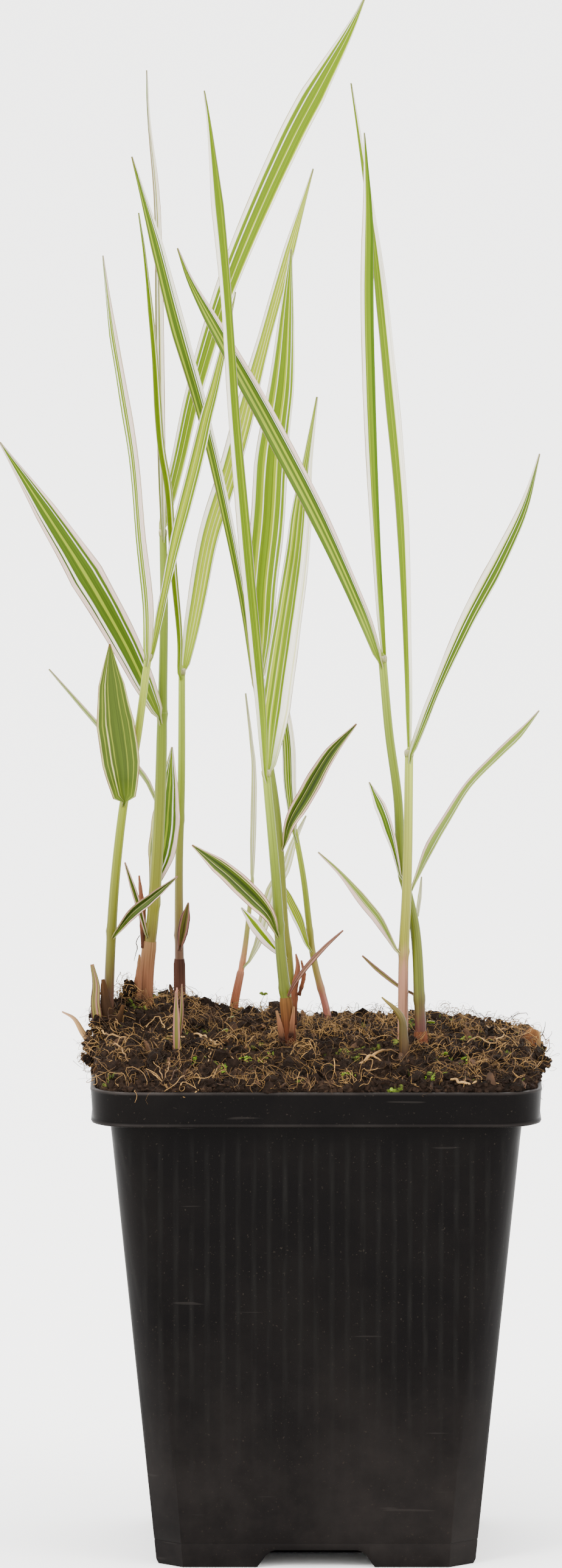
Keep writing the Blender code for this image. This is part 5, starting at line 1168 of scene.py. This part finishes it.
# Clumps that stand up or hang over the rim, as x, y, height over the rim and radius
clumps = [(-39.6, 13.0, 8.6, 2.4), (-37.8, 14.5, 10.4, 2.0), (-38.6, 14.0, 12.4, 1.5), (-37.4, 14.0, 13.6, 1.1),
          (-36.6, 14.0, 9.0, 1.8), (-38.8, 12.0, 6.0, 2.6), (-36.6, 12.0, 6.4, 2.4), (-41.2, 9.0, 5.6, 2.0), (-40.4, 12.6, 10.2, 1.6),
          (-43.2, 8.0, 8.6, 1.5), (-43.8, 5.0, 7.0, 1.7), (-44.3, 2.0, 5.2, 1.8), (-44.8, 0.0, 3.8, 1.7), (-45.2, -5.0, 2.4, 1.5),
          (-44.8, -10.0, 1.6, 1.5),
          (-44.6, 4.0, 3.0, 1.6), (-45.3, -2.0, 1.6, 1.3), (-45.4, 8.0, 2.4, 1.4), (45.2, -3.0, 1.6, 1.8), (46.2, 1.0, 0.2, 1.2),
          (45.0, 8.0, 2.0, 1.6), (44.8, -12.0, 1.4, 1.5), (-20.4, 38.0, 3.6, 2.0), (4.0, 39.0, 3.2, 2.2), (24.0, 38.0, 1.6, 2.0),
          (12.0, -4.0, 4.4, 2.2), (-12.0, 12.0, 4.8, 2.2), (30.0, 12.0, 3.4, 2.4), (-24.0, 6.0, 5.6, 2.0)]
# Moss cushions, as x, y and radius
mossPads = [(-14.0, -25.0, 4.0), (-17.8, -29.0, 2.6), (-9.6, -21.0, 2.6), (23.5, -36.0, 3.4), (27.5, -22.0, 4.6), (31.0, -5.0, 3.6),
            (33.0, 12.0, 3.6), (20.0, 24.0, 2.6), (-24.0, -24.0, 2.0), (6.0, -34.0, 2.0)]


def onSoil(x, y, lift=0.0):
    # A place on the soil, written as routes write theirs
    return (x, y, soilSizes["level"] + soilHeight(x, y) + lift - routeLevel)


def groundOf(name, balls, broken):
    # Small balls to scatter over, each broken into smaller ones where it is a clump
    shape = bmesh.new()
    spread = np.random.default_rng(7)
    if broken:
        balls = [(x + dx * radius, y + dy * radius, z + dz * radius, radius * part) for x, y, z, radius in balls
                 for dx, dy, dz, part in zip(*spread.uniform(-0.85, 0.85, (3, 7)), spread.uniform(0.25, 0.55, 7))]
    for x, y, z, radius in balls:
        ball = bmesh.ops.create_icosphere(shape, subdivisions=2, radius=radius * mm)
        bmesh.ops.scale(shape, vec=(1, 1, 0.7), verts=ball["verts"])
        bmesh.ops.translate(shape, vec=Vector((x, y, z)) * mm, verts=ball["verts"])
    mesh = bpy.data.meshes.new(name)
    shape.to_mesh(mesh)
    shape.free()
    return bpy.data.objects.new(name, mesh)


clumpGround = groundOf("clumpGround", [(x, y, soilSizes["level"] + rise, radius) for x, y, rise, radius in clumps], True)
scatter("clumpCrumbs", clumpGround, crumbTree, {"Density": 2.4e6, "Seed": 31, "Smallest": 0.00025, "Largest": 0.0008,
                                                "Facing": -2.0, "Detail": 1, "Jag": 0.0009, "Material": peatMaterial, **grainShape})
scatter("clumpRoots", clumpGround, fibreTree, {"Density": 3.6e5, "Seed": 32, "Length": 0.0044, "Thickness": 0.00007,
                                               "Bend": 0.010, "Curl": 400.0, "Rise": 0.9, "Facing": -2.0,
                                               "Material": rootMaterial})
mossGround = groundOf("mossGround", [(x, y, onSoil(x, y, 0.4)[2] + routeLevel - radius * 0.45, radius) for x, y, radius in mossPads],
                      False)
scatter("mossLeaves", mossGround, crumbTree, {"Density": 7.0e6, "Seed": 33, "Smallest": 0.0002, "Largest": 0.0006, "Patch": 0.9,
                                              "Facing": 0.2, "Detail": 1, "Jag": 0.0005, "Material": mossMaterial, **mossShape})
for ground in (clumpGround, mossGround):
    bpy.data.objects.remove(ground, do_unlink=True)

# Roots, stalks and threads, laid one by one: route, widths, finish
strands = dict(
    pale=[([onSoil(-31, -3, 0.5), onSoil(-27, -4, 0.9), onSoil(-23.4, -3, 1.2), onSoil(-20.6, -11, 0.9), onSoil(-17, -23, 0.9),
            onSoil(-15.5, -29, 0.4)], (0.5, 0.6, 0.5, 0.3)),
          ([onSoil(-23.4, -3, 1.2), onSoil(-22.4, -13, 1.1), onSoil(-21.2, -20, 0.8), onSoil(-22, -29, 0.4)], (0.45, 0.4, 0.25)),
          ([onSoil(-20.6, -11, 0.9), onSoil(-18, -6, 1.2), onSoil(-15.8, -3, 0.5)], (0.4, 0.35, 0.2)),
          ([onSoil(25.4, -36.4, 0.5), onSoil(27.4, -39.5, 0.9), onSoil(29.6, -42.2, 0.9), onSoil(32.4, -41.6, 1.0),
            onSoil(36.4, -40.6, 0.3)], (0.4, 0.8, 0.7, 0.3)),
          ([onSoil(-5.2, -24, 0.4), onSoil(-4.6, -19, 1.4), onSoil(-2.6, -13, 1.6), onSoil(-1.2, -17, 1.2), onSoil(-2.4, -23, 0.4)],
           (0.3, 0.35, 0.25)),
          ([onSoil(29, -17, 0.4), onSoil(32, -10, 1.8), onSoil(35, -14, 1.4), onSoil(38, -8, 1.9), onSoil(41, -12, 0.6)],
           (0.3, 0.4, 0.3)),
          ([onSoil(30, 8, 0.5), onSoil(33, 14, 2.0), onSoil(36, 10, 1.6), onSoil(39, 16, 1.8), onSoil(42, 12, 0.6)],
           (0.3, 0.35, 0.25)),
          ([onSoil(-35, 2, 0.5), onSoil(-32, 8, 1.6), onSoil(-30, 2, 1.2), onSoil(-27.6, 7, 1.4), onSoil(-26, 3, 0.5)],
           (0.3, 0.35, 0.25))],
    straw=[([onSoil(-29.8, -43, 0.2), onSoil(-32.0, -38, 1.6), onSoil(-34.4, -33, 1.4)], (0.35, 0.3, 0.15)),
           ([onSoil(-29.8, -43, 0.2), onSoil(-30.8, -37, 2.0), onSoil(-32.2, -31, 2.0)], (0.35, 0.3, 0.15)),
           ([onSoil(-29.8, -43, 0.2), onSoil(-29.6, -37, 2.2), onSoil(-29.4, -30, 2.2)], (0.35, 0.3, 0.15)),
           ([onSoil(-29.8, -43, 0.2), onSoil(-28.4, -38, 1.9), onSoil(-26.8, -32, 1.9)], (0.35, 0.3, 0.15)),
           ([onSoil(-29.8, -43, 0.2), onSoil(-27.4, -40, 1.2), onSoil(-24.6, -36, 1.2)], (0.35, 0.3, 0.15)),
           ([onSoil(8.1, -30, 0.6), onSoil(11.0, -25, 1.6), onSoil(13.8, -21, 1.7), onSoil(17.0, -20, 1.0)], (0.6, 0.9, 0.8, 0.4)),
           ([onSoil(11.0, -25, 1.5), onSoil(12.2, -27, 1.8), onSoil(14.6, -28, 0.6)], (0.6, 0.5, 0.3)),
           ([onSoil(-43, 2, 0.6), onSoil(-42, -5, 1.6), onSoil(-39, -9, 1.6), onSoil(-37, -16, 0.6)], (0.4, 0.5, 0.3)),
           ([onSoil(-42, -12, 0.4), onSoil(-39.6, -17, 1.6), onSoil(-38, -24, 1.2), onSoil(-36, -29, 0.4)], (0.4, 0.45, 0.3)),
           ([(-35.8, -42.5, 96.6), (-35.7, -45.3, 95.8), (-35.9, -45.8, 94.2)], (0.25, 0.2, 0.1))],
    dark=[([(-35.4, 14.2, 120.2), (-36.3, 14.0, 118.6), (-36.1, 14.0, 116.6), (-36.6, 14.0, 114.8)], (0.25, 0.3, 0.15)),
          ([(-37.4, 14.0, 106.0), (-38.6, 13.8, 109.0), (-38.0, 13.6, 112.0)], (0.4, 0.3, 0.15)),
          ([onSoil(-40, 10, 0.4), (-41.4, 9.6, 108.5), (-39.6, 9.4, 111.6)], (0.4, 0.3, 0.12)),
          ([onSoil(44, -6, 0.2), (46.4, -5, 99.0), (47.2, -3, 101.4)], (0.4, 0.3, 0.12)),
          ([onSoil(43, 6, 0.2), (45.4, 7, 100.6), (46.2, 9, 103.2)], (0.35, 0.3, 0.12))],
    green=[([onSoil(-10.6, 42, 0.2), (-10.8, 42, 101.4), (-10.6, 42, 104.2)], (0.25, 0.2, 0.15))],
)
strandFinishes = dict(pale=paleRootMaterial, straw=rootMaterial, dark=hairMaterial, green=mossMaterial)
for look, group in strands.items():
    paths, halfWidths, alongs, starts, total = [], [], [], [], 0
    for route, widths in group:
        count = max(10, round(smoothRoute(route, 10)[1] / 0.6))
        path = smoothRoute(route, count)[0]
        wander = np.array([tuple(noise.noise_vector(Vector(point) * 0.6) * 0.5) for point in path])
        starts.append(total)
        total += count
        paths.append(path + wander)
        halfWidths.append(smoothValues(widths, count) * 0.36)
        alongs.append(np.linspace(0, 1, count))
    made = meshObject(look + "Strands", pathMesh(look + "Strands", np.concatenate(paths), {
        "halfWidth": np.concatenate(halfWidths) * mm, "along": np.concatenate(alongs)}, starts))
    runNodes(made, stemTree, {"Sides": 8, "Flute": 0.0, "Material": strandFinishes[look]})
    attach(made, "root")
print("soil made")
